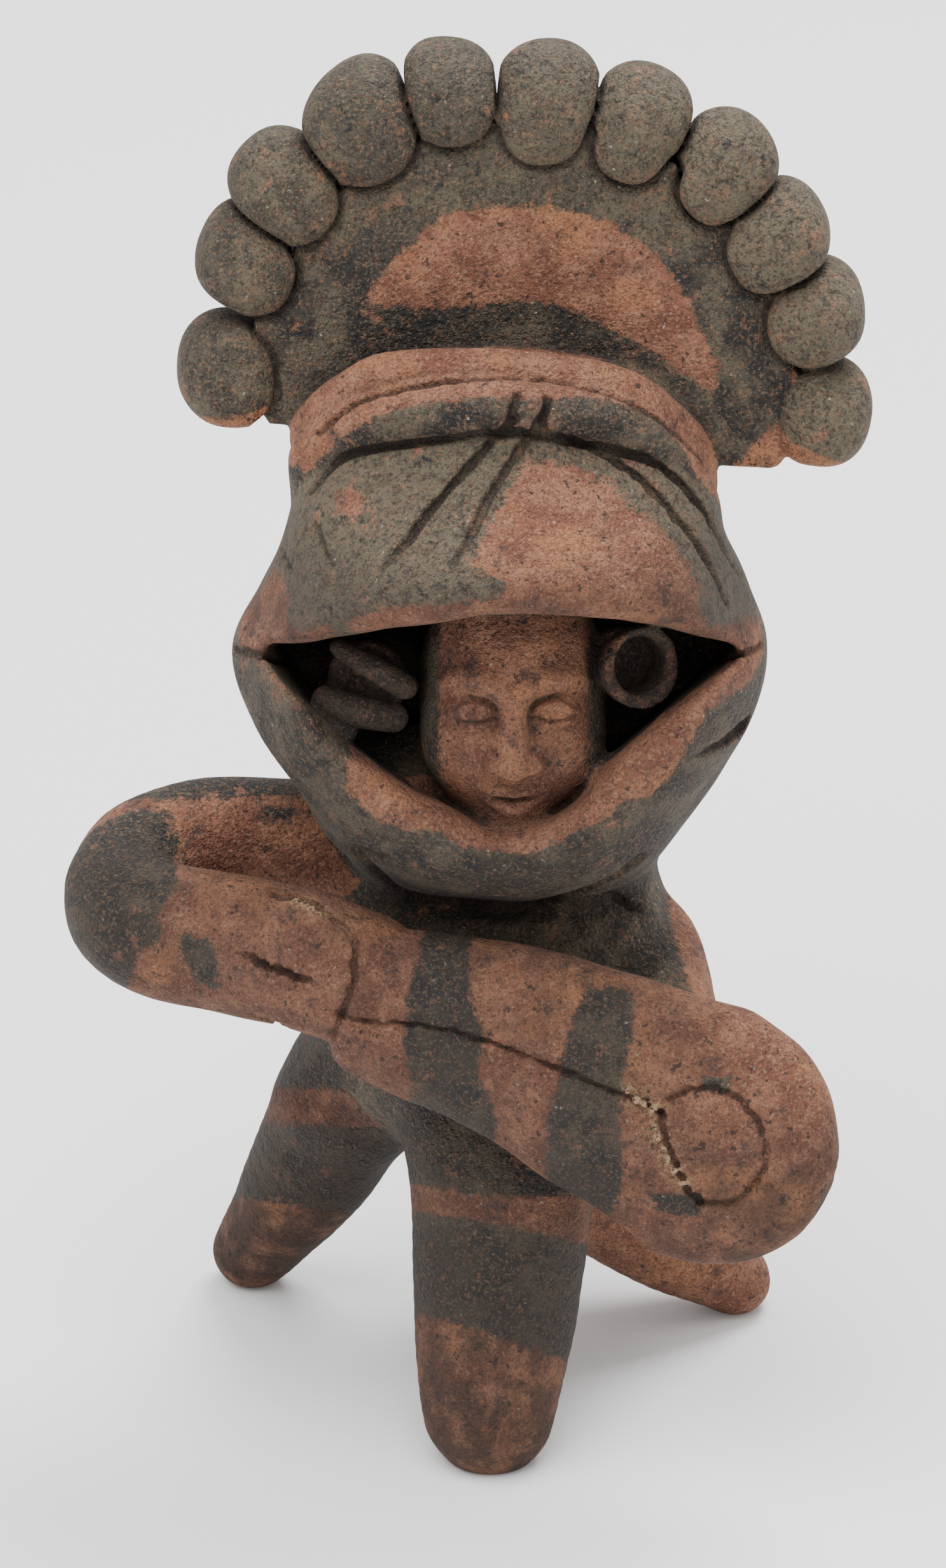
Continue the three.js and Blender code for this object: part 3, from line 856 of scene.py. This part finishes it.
crumbs = {
    "places": [[14.6, -35.6, 52.9], [15.7, -36.1, 52], [16.7, -36.1, 51.4], [17.6, -36, 50.6],
               [17.9, -37.1, 48.9], [18.3, -37.4, 47.6], [19.0, -37.7, 46.3], [19.4, -37.8, 45.0],
               [20.3, -38.1, 43.6], [21.3, -38.4, 42.1], [-24.6, -20, 70.3], [-23.6, -20.3, 70.1],
               [-22.6, -21.3, 69.9], [-21.6, -21.8, 69.5]],
    "reach": [0.9, 1.3, 1.1, 1.2, 0.9, 1.0, 0.9, 1.0, 0.8, 0.8, 0.9, 1.0, 0.9, 0.8],
}


# unevenness of hand-worked clay: smooth random bumps on two scales

handwork = {
    "seed": 5,
    "bumps": ((9.0, 0.34), (3.6, 0.10)),
    # round the face the bumps are lower: its centre, and where they grow to full height
    "calmCentre": (1.2, -20, 93),
    "calmReach": (11, 19),
}


def cubicWeights(count, spacing, knots):
    # how much each coarse knot counts at each voxel along one axis
    at = np.arange(count) * step / spacing
    first = np.floor(at).astype(int)
    t = at - first
    weights = np.zeros((count, knots), np.float32)
    shares = ((1 - t) ** 3 / 6, (3 * t ** 3 - 6 * t ** 2 + 4) / 6,
              (-3 * t ** 3 + 3 * t ** 2 + 3 * t + 1) / 6, t ** 3 / 6)
    for k, share in enumerate(shares):
        weights[np.arange(count), first + k] = share
    return weights


def workByHand():
    # the face is smoothed with more care than the rest
    x, y, z = [np.arange(n, dtype=np.float32) * step + a for n, a in zip(counts, low)]
    cx, cy, cz = handwork["calmCentre"]
    x, y, z = x[:, None, None], y[None, :, None], z[None, None, :]
    away = np.sqrt((x - cx) ** 2 + (y - cy) ** 2 + (z - cz) ** 2)
    calm = 0.3 + 0.7 * ramp(away, *handwork["calmReach"])
    rng = np.random.default_rng(handwork["seed"])
    for spacing, height in handwork["bumps"]:
        knots = [int(n * step / spacing) + 5 for n in counts]
        values = rng.standard_normal(knots).astype(np.float32)
        wx, wy, wz = [cubicWeights(n, spacing, k) for n, k in zip(counts, knots)]
        values = np.tensordot(wx, values, (1, 0))
        values = np.tensordot(wy, values, (1, 1))
        values = np.tensordot(wz, values, (1, 2)).transpose(2, 1, 0)
        clay[...] += (np.ascontiguousarray(values) * calm * (height / 0.33)).astype(np.float32)
    print("hand-worked surface")


def blurred(grid, reach):
    # box blur through running sums, so its cost doesn't grow with its reach
    n = max(1, int(round(reach / step)))
    out = grid
    for axis in range(3):
        padded = np.pad(out, [(n + 1, n) if k == axis else (0, 0) for k in range(3)], mode="edge")
        sums = np.cumsum(padded, axis=axis, dtype=np.float32)
        size = out.shape[axis]
        upper = np.take(sums, np.arange(2 * n + 1, 2 * n + 1 + size), axis=axis)
        lower = np.take(sums, np.arange(0, size), axis=axis)
        out = (upper - lower) / (2 * n + 1)
    return out


def addCrumbs():
    for place, reach in zip(crumbs["places"], crumbs["reach"]):
        addBall(place, [0.45 * reach] * 3, 0.3, "crumb")


def flattenFeet():
    where, _, _, z = window(low, (volume["high"][0], volume["high"][1], 8))
    clay[where] = np.maximum(clay[where], body["floor"] - z)


# put it all together

modelBody()
modelHood()
modelFace()
modelCrest()
modelPellets()
modelClub()
workByHand()
drawFaceLines()
drawHoodCuts()
drawClubCuts()
drawHandCuts()
print("drawn lines and cracks")
addCrumbs()
flattenFeet()


def outerSkin(points, quads):
    # only the figure's own skin is kept: specks of surface closed off in its creases are dropped
    pairs = np.concatenate([quads[:, :2], quads[:, 1:3], quads[:, 2:]])
    label = np.arange(len(points))
    while True:
        lowest = label[pairs].min(axis=1)
        spread = label.copy()
        for end in (0, 1):
            np.minimum.at(spread, pairs[:, end], lowest)
        spread = spread[spread]
        if (spread == label).all():
            break
        label = spread
    kept = label == np.bincount(label).argmax()
    return points[kept], (np.cumsum(kept) - 1)[quads[kept[quads[:, 0]]]]


def meshFromClay():
    grid = openvdb.FloatGrid(farAway)
    grid.copyFromArray(np.clip(clay, -farAway, farAway))
    points, quads = outerSkin(*grid.convertToQuads())
    points = points * step + low
    mesh = bpy.data.meshes.new("clayFigure")
    mesh.vertices.add(len(points))
    mesh.vertices.foreach_set("co", points.astype(np.float32).ravel())
    mesh.loops.add(quads.size)
    mesh.loops.foreach_set("vertex_index", quads.astype(np.int32).ravel())
    mesh.polygons.add(len(quads))
    mesh.polygons.foreach_set("loop_start", np.arange(0, quads.size, 4, dtype=np.int32))
    mesh.update(calc_edges=True)
    mesh.validate()
    return mesh


def thinned(mesh):
    shape = bpy.data.objects.new("clayFigure", mesh)
    bpy.context.collection.objects.link(shape)
    thin = shape.modifiers.new("thin", "DECIMATE")
    thin.ratio = min(1.0, volume["triangles"] / (2 * len(mesh.polygons)))
    made = bpy.data.meshes.new_from_object(shape.evaluated_get(bpy.context.evaluated_depsgraph_get()))
    shape.modifiers.clear()
    shape.data = made
    return shape


def signedVolume(mesh):
    mesh.calc_loop_triangles()
    at = vertexArray(mesh)
    corners = np.empty(len(mesh.loop_triangles) * 3, np.int32)
    mesh.loop_triangles.foreach_get("vertices", corners)
    a, b, c = [at[corners.reshape(-1, 3)[:, k]] for k in range(3)]
    return float((a * np.cross(b, c)).sum() / 6)


# painted slip: how far inside a dark area each point lies, in millimetres, minus is bare clay

paint = {
    "crescent": [[-16.6, 138.4], [-13.1, 143.8], [-7.6, 148.9], [-3, 150], [5.2, 150.1], [11.7, 148.4],
                 [17.3, 144.8], [20.9, 140.1], [23.8, 134.5], [25.7, 129.9], [24.3, 128], [21.9, 129.9],
                 [16.4, 133.6], [9.9, 136.9], [5.3, 138.7], [-0.3, 138.7], [-6.7, 138.3], [-13.1, 138.4]],
    "visorRed": [[2.6, 125.8], [5.7, 125.8], [8, 124.9], [11.3, 123.7], [14.3, 121.2], [16.9, 119.3],
                 [19.5, 116.6], [21.7, 113.5], [22.8, 111], [22.4, 109.1], [23.6, 106.4], [27, 104.8],
                 [30, 102.4], [31, 98], [26, 101], [15.3, 104], [0.5, 106], [-12.7, 105], [-17.5, 107.6],
                 [-18.2, 109.2], [-14.1, 112.2], [-10.5, 113.2], [-6.8, 113.4], [-1.7, 113.6],
                 [0.2, 114.7], [-0.9, 116.4], [-3.5, 116.8], [-3, 118.7], [-1.7, 120.3], [-0.2, 122.3],
                 [1.2, 124.2]],
    "visorSpot": [[-19.8, 120.5], [-17.6, 122], [-16.1, 121.1], [-17.2, 119.3], [-19.4, 119.1]],
    "visorLeft": [[-29.5, 106], [-26.3, 110.3], [-25.3, 109.1], [-25.6, 106.8], [-23.9, 106.2],
                  [-20.1, 108.4], [-19.5, 105.5], [-22.5, 103], [-27.5, 100], [-33, 98.5], [-33, 104]],
    "jawRed": [[33, 100.5], [29.2, 96.8], [26, 97.2], [23.5, 96], [22.6, 94.2], [21.1, 92], [19.6, 89.3],
               [16.7, 86.9], [14, 86.7], [11.4, 84.6], [8.1, 83.3], [5.1, 81.3], [2.9, 80.3],
               [-1.6, 80.7], [-5.4, 81.6], [-7.6, 83.4], [-11.3, 83.2], [-14.3, 83.8], [-16.9, 85.3],
               [-18.4, 87.3], [-18.4, 89.8], [-16.1, 92.5], [-9, 91], [-3.1, 88], [2.8, 87], [8, 90],
               [11, 95], [16, 99], [24.4, 103], [33, 103]],
    "stripeOne": [[42.5, 15], [37.5, 15], [33.6, 8.6], [32.1, 5.8], [29.8, 3.4], [28.7, 1.7],
                  [27.8, -2.2], [23.4, -6.6], [22.5, -14], [33, -14], [34.5, -6.7], [37, -3.2], [38.8, 2],
                  [40, 6.3], [40.4, 8.7]],
    "stripeTwo": [[20.1, 12.5], [17.9, 13.8], [15.7, 14.2], [14.3, 13.2], [13, 8.9], [11.7, 4.1],
                  [10.8, 0.7], [8.4, -3.6], [6.4, -9.8], [7, -14], [14.5, -14], [17.1, -6.6],
                  [18.4, -2.8], [18.9, 1.4], [19.8, 5.9], [20.6, 10.3]],
    "rimRed": [[27.5, 152], [33, 146], [37, 139], [39, 130], [39, 116], [26, 118], [29, 122], [33.5, 126],
               [33.5, 133], [31.5, 141], [28.5, 146]],
    "clubSmudges": [[[3.9, 8.9], [0.5, 10.3], [-0.1, 8.2], [2.8, 7.3]], [[3.8, -6.7], [-2, -4.7],
                    [-3.1, -7.4], [2, -9.1]]],
    "forearmPatch": [[-38.7, 66], [-34.9, 65.9], [-33.7, 64], [-33.8, 59.9], [-36.3, 60], [-38, 62.8]],
    "upperArmPatch": [[-30.5, 72.7], [-27.8, 73.4], [-24.7, 73], [-25.5, 71.8], [-29.3, 71.5]],
    "elbow": [[56, -45], [58.5, -44.7], [62.8, -43.8], [65.8, -40.3], [67.5, -41.4], [70.1, -38.9],
              [73, -40]],
    "shoulder": [[60, -12], [64.2, -14.6], [65.3, -17], [67.2, -18.9], [70, -20.8], [74, -21.8]],
    "lowerRidge": [[-24, 3.2], [-22, -0.6], [-17, 0.1], [-8, 0.5], [0, 0.6], [6, 0.9], [11, 2.2],
                   [17, 2.9], [24, 2.5]],
    # how far inside the slip counts as fully covered
    "full": 3,
    # straight edges: where the edge lies, its slope, and where the slope starts from
    "pelletEdges": {"pellet0": (125.5, 0.2, -34), "pellet10": (121, -0.5, 37)},
    "torsoEdge": (20.6, 0.16, -4),
    "armTopEdge": (67.4, 0.03, -33),
    "tailEdge": (13.5, 0.12, 4),
    # the front leg's first edge is bowed; the other edges are slanting
    "frontLegTop": (13.9, 0.012, -0.5),
    "frontLegRing": ((17.3, 0.12), (30.8, 0.25)),
    # upper edge, then the upper and the sloping lower edge of the ring
    "sideLeg": (31.6, 27.2, 16.0, 0.12, -22),
    # how deep the outer paint reaches round the lips of the beak
    "lipSkin": (3.0, 8),
    # under the upper lip: height, half width, middle, fall to the sides
    "underVisor": (99, 6, 2, 0.4),
    # bare part of the hood's inner wall: below this height, and up to this side
    "innerBare": (84, 12),
    # the bare band by the beak's corners ends in a tip: where it starts to narrow, and how fast
    "bandTip": (-11, 0.35),
    "faceHalf": 8.7,
}


def paintSlip(at, who):
    x, y, z = at.T
    tilt = math.radians(fromCamera[0])
    level = y * math.sin(tilt) + z * math.cos(tilt)
    full = paint["full"]
    slip = np.full(len(at), float(full))

    def on(*names):
        return np.isin(who, [owners[n] for n in names])

    def outline(name, a=x, b=z):
        return insideOutline(paint[name], a, b)

    def alongLimb(limb):
        top = np.array(body[limb][0][:3])
        down = np.array(body[limb][-1][:3]) - top
        return (at - top) @ (down / np.linalg.norm(down))

    part = on("crest")
    behind = intoFrame(crestPlace(), x, y, z)[0]
    rim = outline("rimRed") - 0.6
    slip[part] = np.where(behind < 1.5, np.minimum(-outline("crescent"), -rim), full)[part]

    for name, (edge, slope, middle) in paint["pelletEdges"].items():
        part = on(name)
        slip[part] = (z - edge - slope * (x - middle))[part]

    slip[on("upperRidge")] = -full

    part = on("lowerRidge")
    line = smoothLine(hood["lowerRidge"], 6)
    order = np.argsort(line[:, 0])
    axisLevel = line[:, 1] * math.sin(tilt) + line[:, 2] * math.cos(tilt)
    edge = np.array(paint["lowerRidge"])
    height = level - np.interp(x, line[order, 0], axisLevel[order])
    slip[part] = (np.interp(x, edge[:, 0], edge[:, 1]) - height)[part]

    part = on("hood")
    table = sectionTable(hood["sections"])
    half, front, back = [np.interp(z, table[:, 0], table[:, k]) for k in (1, 2, 3)]
    shell = (front + back) / 2 - (back - front) / 2 * np.sqrt(np.clip(1 - (x / half) ** 2, 0, 1))
    red = np.maximum.reduce([outline(name) for name in ("visorRed", "visorSpot", "visorLeft", "jawRed")])
    start, narrowing = paint["bandTip"]
    red -= narrowing * np.maximum(y - start, 0)
    within = y - shell
    skin, deep = paint["lipSkin"]
    top, reach, middle, fall = paint["underVisor"]
    rolled = np.maximum(red, np.where(z > top, reach - np.abs(x - middle) * fall, -full))
    height, side = paint["innerBare"]
    inner = np.where((z < height) & (x < side) & (y < 0), -2.0, full)
    slip[part] = np.where(within < skin, -red, np.where(within < deep, -rolled, inner))[part]

    part = on("face")
    slip[part] = (np.abs(x - face["middle"]) - paint["faceHalf"])[part]

    part = on("torso", "straightArm")
    edge, slope, middle = paint["torsoEdge"]
    slip[part] = (edge - slope * (y - middle) - x)[part]

    # the bent arm: shoulder and elbow, a patch on the forearm, one on the upper arm, and its top edge
    part = on("bentArm") & (x < -8)
    edge = np.array(paint["shoulder"])
    band = np.where(y > -13, x - np.interp(z, edge[:, 0], edge[:, 1]), -full)
    edge = np.array(paint["elbow"])
    elbow = np.minimum(np.interp(z, edge[:, 0], edge[:, 1]) - x, -1.5 - y)
    frontPatch = np.where(y < -14, outline("forearmPatch"), -full)
    topPatch = np.where(y > -6, outline("upperArmPatch"), -full)
    edge, slope, middle = paint["armTopEdge"]
    topEdge = np.minimum(level - edge - slope * (x - middle), -19 - x)
    slip[part] = np.maximum.reduce([band, elbow, frontPatch, topPatch, topEdge])[part]

    part = on("club")
    _, up, along = intoFrame(clubPlace(), x, y, z)
    marks = [outline(name, along, up) for name in ("stripeOne", "stripeTwo")]
    marks += [insideOutline(blot, along, up) for blot in paint["clubSmudges"]]
    slip[part] = np.maximum.reduce(marks)[part]

    part = on("frontLeg")
    reach = alongLimb("frontLeg")
    top, bow, middle = paint["frontLegTop"]
    (upper, upperSlope), (lower, lowerSlope) = paint["frontLegRing"]
    ring = np.minimum(reach - upper - upperSlope * x, lower + lowerSlope * x - reach)
    slip[part] = np.maximum(top - bow * (x - middle) ** 2 - reach, ring)[part]

    part = on("sideLeg")
    top, upper, lower, slope, middle = paint["sideLeg"]
    ring = np.minimum(upper - level, level - lower + slope * (x - middle))
    slip[part] = np.maximum(level - top, ring)[part]

    part = on("tail")
    edge, slope, middle = paint["tailEdge"]
    slip[part] = (edge + slope * (y - middle) - alongLimb("tail"))[part]
    return np.clip(slip, -full, full)


# wear: how olive the slip has turned, and how much each part is darkened by grime and by painted shade

wear = {
    "olive": {"hood": 0.82, "crest": 0.5, "torso": 0.1, "straightArm": 0.1},
    # from the first pellets to the last ones
    "pelletOlive": (0.35, 0.8),
    # heights or depths between which the olive fades in on the hood and on the crest
    "hoodOlive": (94, 101),
    "hoodBack": (-8, 6),
    "crestOlive": (140, 152),
    # face and spools get painted shade, as they lie inside the beak; the other parts are darkened evenly
    "grimeAndShade": {"face": 0.15, "spool": 0.45, "frontLeg": 0.16, "sideLeg": 0.2, "club": 0.2, "bentArm": 0.16,
              "crest": 0.06},
    # how much, and the heights between which it comes and goes
    "visorGrime": (0.42, (100, 104), (112, 119)),
    # the club's round end is painted lighter above and darker below, as painted light and painted shade:
    # where it begins, the heights, the amounts
    "clubEndLightAndShade": ((18, 30), (42, 54), (0.12, 0.5)),
    # darker towards the bottom: how much, and the heights between which it fades out
    "lowerDarkening": (0.28, 72, 118),
    "footDarkening": (0.26, 6, 48),
    # parts painted lighter, as they stand in more light: they keep only a share of the darkening
    "litParts": ("torso", "straightArm", "tail"),
    "litShare": 0.2,
    # distances over which the clay round a point is counted, near by and farther off
    "reaches": (1.1, 4.5),
    # share of clay at which creases, hollows and rubbed ridges begin, and how fast they grow
    "crevice": (0.53, 5),
    "hollow": (0.5, 3),
    "rub": (0.43, 5),
    # distance from a drawn line over which its painted shade and dirt fade
    "lineEdge": (-0.06, 0.2),
}


def wearAt(at, who):
    x, y, z = at.T
    olive, grimeAndShade = np.zeros(len(at)), np.zeros(len(at))
    first, last = wear["pelletOlive"]
    for name, number in owners.items():
        mine = who == number
        olive[mine] = wear["olive"].get(name, 0)
        if name.startswith("pellet"):
            olive[mine] = first + (last - first) * ramp(x[mine], -20, 30)
        # each part's darkening: grime, and painted shade on the face and spools inside the beak
        grimeAndShade[mine] = wear["grimeAndShade"].get(name, 0)
    part = who == owners["hood"]
    olive[part] *= ramp(z[part], *wear["hoodOlive"]) * (1 - 0.7 * ramp(y[part], *wear["hoodBack"]))
    amount, comes, goes = wear["visorGrime"]
    grimeAndShade[part] += amount * ramp(z[part], *comes) * (1 - ramp(z[part], *goes))
    # painted light on the top of the club's round end, painted shade below it
    part = who == owners["club"]
    sides, heights, (below, less) = wear["clubEndLightAndShade"]
    grimeAndShade[part] += ramp(x[part], *sides) * (below - less * ramp(z[part], *heights))
    part = who == owners["crest"]
    olive[part] *= ramp(z[part], *wear["crestOlive"])
    # darker towards the bottom
    for share, bottom, top in (wear["lowerDarkening"], wear["footDarkening"]):
        grimeAndShade += share * (1 - ramp(z, bottom, top))
    # painted light: these parts keep only a share of the darkening
    litParts = np.isin(who, [owners[name] for name in wear["litParts"]])
    litParts |= (who == owners["bentArm"]) & (y > -6)
    grimeAndShade[litParts] *= wear["litShare"]
    return olive, np.maximum(grimeAndShade, 0)


def crumbsAt(at):
    out = np.zeros(len(at))
    for place, reach in zip(crumbs["places"], crumbs["reach"]):
        out = np.maximum(out, np.exp(-((at - place) ** 2).sum(1) / reach ** 2))
    return out


def finishFigure():
    mesh = meshFromClay()
    print("surface has", len(mesh.polygons), "quads")
    shape = thinned(mesh)
    mesh = shape.data
    if signedVolume(mesh) < 0:
        mesh.flip_normals()
    at = vertexArray(mesh)
    nearest = np.clip(np.rint((at - low) / step).astype(int), 0, counts - 1)
    who = owner[tuple(nearest.T)]
    # how much clay lies round each point, near by and farther off: little on ridges, much in hollows
    solid = np.clip(0.5 - clay / step, 0, 1).astype(np.float32)
    near, wide = [sampleClay(at, blurred(solid, reach)) for reach in wear["reaches"]]
    olive, grimeAndShade = wearAt(at, who)

    def past(share, name):
        start, growth = wear[name]
        return np.clip((share - start) * growth, 0, 1)

    start, growth = wear["rub"]
    for name, values in {
        "slipEdge": paintSlip(at, who),
        # crevice and hollow: the material paints shade into creases and hollows from these; some creases
        # also get soil
        "crevice": past(near, "crevice"),
        "hollow": past(wide, "hollow"),
        "crumbs": crumbsAt(at),
        "olive": olive,
        "grimeAndShade": grimeAndShade,
        "line": 1 - ramp(sampleClay(at, lines), *wear["lineEdge"]),
        "rub": np.clip((start - near) * growth, 0, 1),
    }.items():
        giveValues(mesh, name, values)
    placed = (at + frameShift) / 1000
    inside = np.clip(placed, np.array(cadBox[0]), np.array(cadBox[1]))
    over = np.abs(placed - inside).max(axis=1)
    print("outside the solid's box by at most", round(float(over.max()) * 1000, 2), "mm")
    mesh.vertices.foreach_set("co", inside.astype(np.float32).ravel())
    mesh.polygons.foreach_set("use_smooth", [True] * len(mesh.polygons))
    mesh.update()
    print("figure has", sum(len(p.vertices) - 2 for p in mesh.polygons), "triangles")
    return shape


figure = finishFigure()


# fired clay with worn slip paint

finish = {
    "clayPale": (0.30, 0.136, 0.081, 1),
    "clayDeep": (0.150, 0.055, 0.034, 1),
    "clayOrange": (0.33, 0.142, 0.066, 1),
    "clayTan": (0.38, 0.220, 0.138, 1),
    "clayUmber": (0.058, 0.032, 0.023, 1),
    "slipDark": (0.013, 0.013, 0.013, 1),
    "slipBlue": (0.021, 0.025, 0.028, 1),
    "slipOlive": (0.128, 0.104, 0.068, 1),
    "slipBrown": (0.070, 0.041, 0.027, 1),
    "speck": (0.55, 0.50, 0.42, 1),
    "soil": (0.40, 0.27, 0.15, 1),
    "shade": (0.022, 0.015, 0.012, 1),
}


def firedClay():
    look = bpy.data.materials.new("firedClay")
    look.use_nodes = True
    n = Nodes(look.node_tree)
    shader = look.node_tree.nodes["Principled BSDF"]
    mm = n.scaled(n.add("ShaderNodeTexCoord").outputs["Object"], 1000.0)

    # patterns from the broadest to the finest
    broad, broadToo, _ = n.noise(mm, 0.075, 3, 0.6)
    patch, patchToo, patchAlso = n.noise(mm, 0.24, 4, 0.6)
    ragged, raggedToo, raggedAlso = n.noise(mm, 0.85, 3, 0.6)
    grain, grainToo, grainAlso = n.noise(mm, 2.3, 2, 0.6)
    fine, fineToo, _ = n.noise(mm, 5.5, 1, 0.6)

    def layered(base, layers):
        # each layer: its pattern, where it begins and is full, its strength and its colour
        for pattern, begins, full, strength, name in layers:
            base = n.mix(n.ramp(pattern, begins, full, (0.0, strength)), base, finish[name])
        return base

    # bare clay: pale and deep patches, orange where it was fired harder, grains and dark stains
    bare = n.mix(n.ramp(patch, 0.36, 0.64, (0.1, 0.9)), finish["clayDeep"], finish["clayPale"])
    bare = layered(bare, [
        (broad, 0.48, 0.62, 0.75, "clayOrange"),
        (raggedAlso, 0.50, 0.66, 0.55, "clayDeep"),
        (grain, 0.53, 0.63, 0.45, "clayTan"),
        (grainToo, 0.47, 0.36, 0.55, "clayUmber"),
        (fine, 0.42, 0.32, 0.5, "clayUmber"),
    ])
    stain = n.times(n.ramp(patchAlso, 0.56, 0.66), n.ramp(ragged, 0.46, 0.56, (0.25, 1.0)))
    bare = n.mix(n.times(stain, 0.6), bare, finish["slipBlue"])
    bare = layered(bare, [(raggedToo, 0.37, 0.33, 0.75, "slipDark")])

    # slip: charcoal, olive and brown, with grains of clay showing where it has worn thin
    slip = n.mix(n.ramp(patchToo, 0.40, 0.60, (0.0, 0.65)), finish["slipDark"], finish["slipOlive"])
    slip = layered(slip, [(broadToo, 0.44, 0.62, 0.85, "slipDark")])
    slip = n.mix(n.times(n.attribute("olive"), n.ramp(raggedAlso, 0.30, 0.50)), slip, finish["slipOlive"])
    slip = layered(slip, [
        (ragged, 0.52, 0.66, 0.5, "slipBlue"),
        (raggedToo, 0.52, 0.66, 0.6, "slipBrown"),
        (grain, 0.54, 0.64, 0.6, "slipOlive"),
        (grainToo, 0.46, 0.36, 0.65, "shade"),
        (grainAlso, 0.57, 0.68, 0.36, "clayOrange"),
    ])

    # the painted edge is ragged; rubbed places and a few patches lose their slip
    edge = n.plus(n.attribute("slipEdge"), n.around(ragged, 2.2))
    edge = n.plus(edge, n.around(grain, 2.0))
    worn = n.times(n.ramp(patch, 0.56, 0.69, (0.0, 0.8)), n.ramp(raggedAlso, 0.46, 0.60))
    worn = n.larger(worn, n.times(n.attribute("rub"), n.ramp(ragged, 0.42, 0.58, (0.0, 0.8))))
    cover = n.times(n.ramp(edge, -0.3, 0.35), n.without(worn))
    colour = n.mix(cover, bare, slip)

    # pale mineral specks
    specks = n.add("ShaderNodeTexVoronoi", feature="F1")
    n.put(specks, Vector=mm, Scale=0.62)
    speck = n.plus(specks.outputs["Distance"], n.around(fine, 0.5))
    speck = n.times(n.ramp(speck, 0.12, 0.04), n.ramp(raggedAlso, 0.50, 0.58))
    colour = n.mix(n.times(speck, 0.5), colour, finish["speck"])

    # soil and straw in some creases; painted shade in the other creases and in hollows, painted shade and
    # dirt in the drawn lines, and grime and painted shade laid on part by part
    soil = n.times(n.attribute("crevice"), n.ramp(patch, 0.54, 0.64, (0.0, 0.3)))
    soil = n.larger(soil, n.times(n.attribute("crumbs"), n.ramp(grain, 0.38, 0.52)))
    colour = n.mix(n.times(soil, 0.9), colour, finish["soil"])
    shadeAndDirt = n.larger(n.times(n.attribute("hollow"), 0.12), n.times(n.attribute("crevice"), 0.85))
    shadeAndDirt = n.larger(shadeAndDirt, n.times(n.attribute("line"), n.ramp(grain, 0.40, 0.54, (0.55, 0.9))))
    shadeAndDirt = n.larger(shadeAndDirt, n.times(n.attribute("grimeAndShade"), n.ramp(patchToo, 0.36, 0.60, (0.75, 1.2))))
    colour = n.mix(n.times(shadeAndDirt, n.without(soil)), colour, finish["shade"])

    # gritty skin with small pits
    pits = n.add("ShaderNodeTexVoronoi", feature="F1")
    n.put(pits, Vector=mm, Scale=0.8)
    rough = n.plus(n.times(grainToo, 0.8), n.times(fineToo, 0.35))
    rough = n.plus(rough, n.times(raggedToo, 1.3))
    rough = n.plus(rough, n.times(n.ramp(pits.outputs["Distance"], 0.05, 0.24), 0.3))
    bump = n.add("ShaderNodeBump")
    n.put(bump, Strength=1.0, Distance=0.0006, Height=rough)
    n.put(shader, **{
        "Base Color": colour,
        "Roughness": n.ramp(cover, 0.0, 1.0, (0.88, 0.74)),
        "Specular IOR Level": 0.3,
        "Normal": bump.outputs["Normal"],
    })
    return look


figure.data.materials.clear()
figure.data.materials.append(firedClay())
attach(figure, "root")
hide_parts("clay_figure")
print("finish")


# studio: pale floor, soft light from above and in front, camera at the photograph's angle

studio = {
    "floor": (0.93, 0.93, 0.93, 1),
    "aim": (0, 0, 0.09),
    "worldLight": 1.02,
    "keyPlace": (-0.22, -0.30, 1.1),
    "keySize": 1.1,
    "keyPower": 16,
    "backPlace": (0.3, 0.5, 1.0),
    "backSize": 0.6,
    "backPower": 12,
    "elevation": 25.0,
    "distance": 0.9,
    "sensor": 36,
    "target": (-3.6, 0.0, 76.3),
    "mmPerPixel": 0.077,
    "pixelRows": 2464,
}


def buildFloor():
    mesh = bpy.data.meshes.new("floor")
    mesh.from_pydata([(-3, -3, 0), (3, -3, 0), (3, 3, 0), (-3, 3, 0)], [], [(0, 1, 2, 3)])
    floor = bpy.data.objects.new("floor", mesh)
    bpy.context.collection.objects.link(floor)
    pale = bpy.data.materials.new("paleFloor")
    pale.use_nodes = True
    shader = pale.node_tree.nodes["Principled BSDF"]
    shader.inputs["Base Color"].default_value = studio["floor"]
    shader.inputs["Roughness"].default_value = 0.9
    mesh.materials.append(pale)


def softLight(name, place, size, power):
    light = bpy.data.lights.new(name, "AREA")
    light.shape = "DISK"
    light.size = size
    light.energy = power
    lamp = bpy.data.objects.new(name, light)
    lamp.location = place
    lamp.rotation_euler = (Vector(studio["aim"]) - Vector(place)).to_track_quat("-Z", "Y").to_euler()
    bpy.context.collection.objects.link(lamp)


def lightStudio():
    world = bpy.data.worlds.new("studio")
    world.use_nodes = True
    sky = world.node_tree.nodes["Background"]
    sky.inputs["Color"].default_value = (1, 1, 1, 1)
    sky.inputs["Strength"].default_value = studio["worldLight"]
    bpy.context.scene.world = world
    softLight("keyLight", studio["keyPlace"], studio["keySize"], studio["keyPower"])
    softLight("backLight", studio["backPlace"], studio["backSize"], studio["backPower"])


def placeCamera():
    camera = bpy.data.cameras.new("camera")
    camera.sensor_width = studio["sensor"]
    pixels = studio["distance"] * 1000 / studio["mmPerPixel"]
    camera.lens = pixels / studio["pixelRows"] * studio["sensor"]
    eye = bpy.data.objects.new("camera", camera)
    bpy.context.collection.objects.link(eye)
    target = (np.array(studio["target"]) + frameShift) / 1000
    tilt = math.radians(studio["elevation"])
    eye.location = target + studio["distance"] * np.array([0, -math.cos(tilt), math.sin(tilt)])
    eye.rotation_euler = (math.pi / 2 - tilt, 0, 0)
    bpy.context.scene.camera = eye


buildFloor()
lightStudio()
placeCamera()
print("studio")
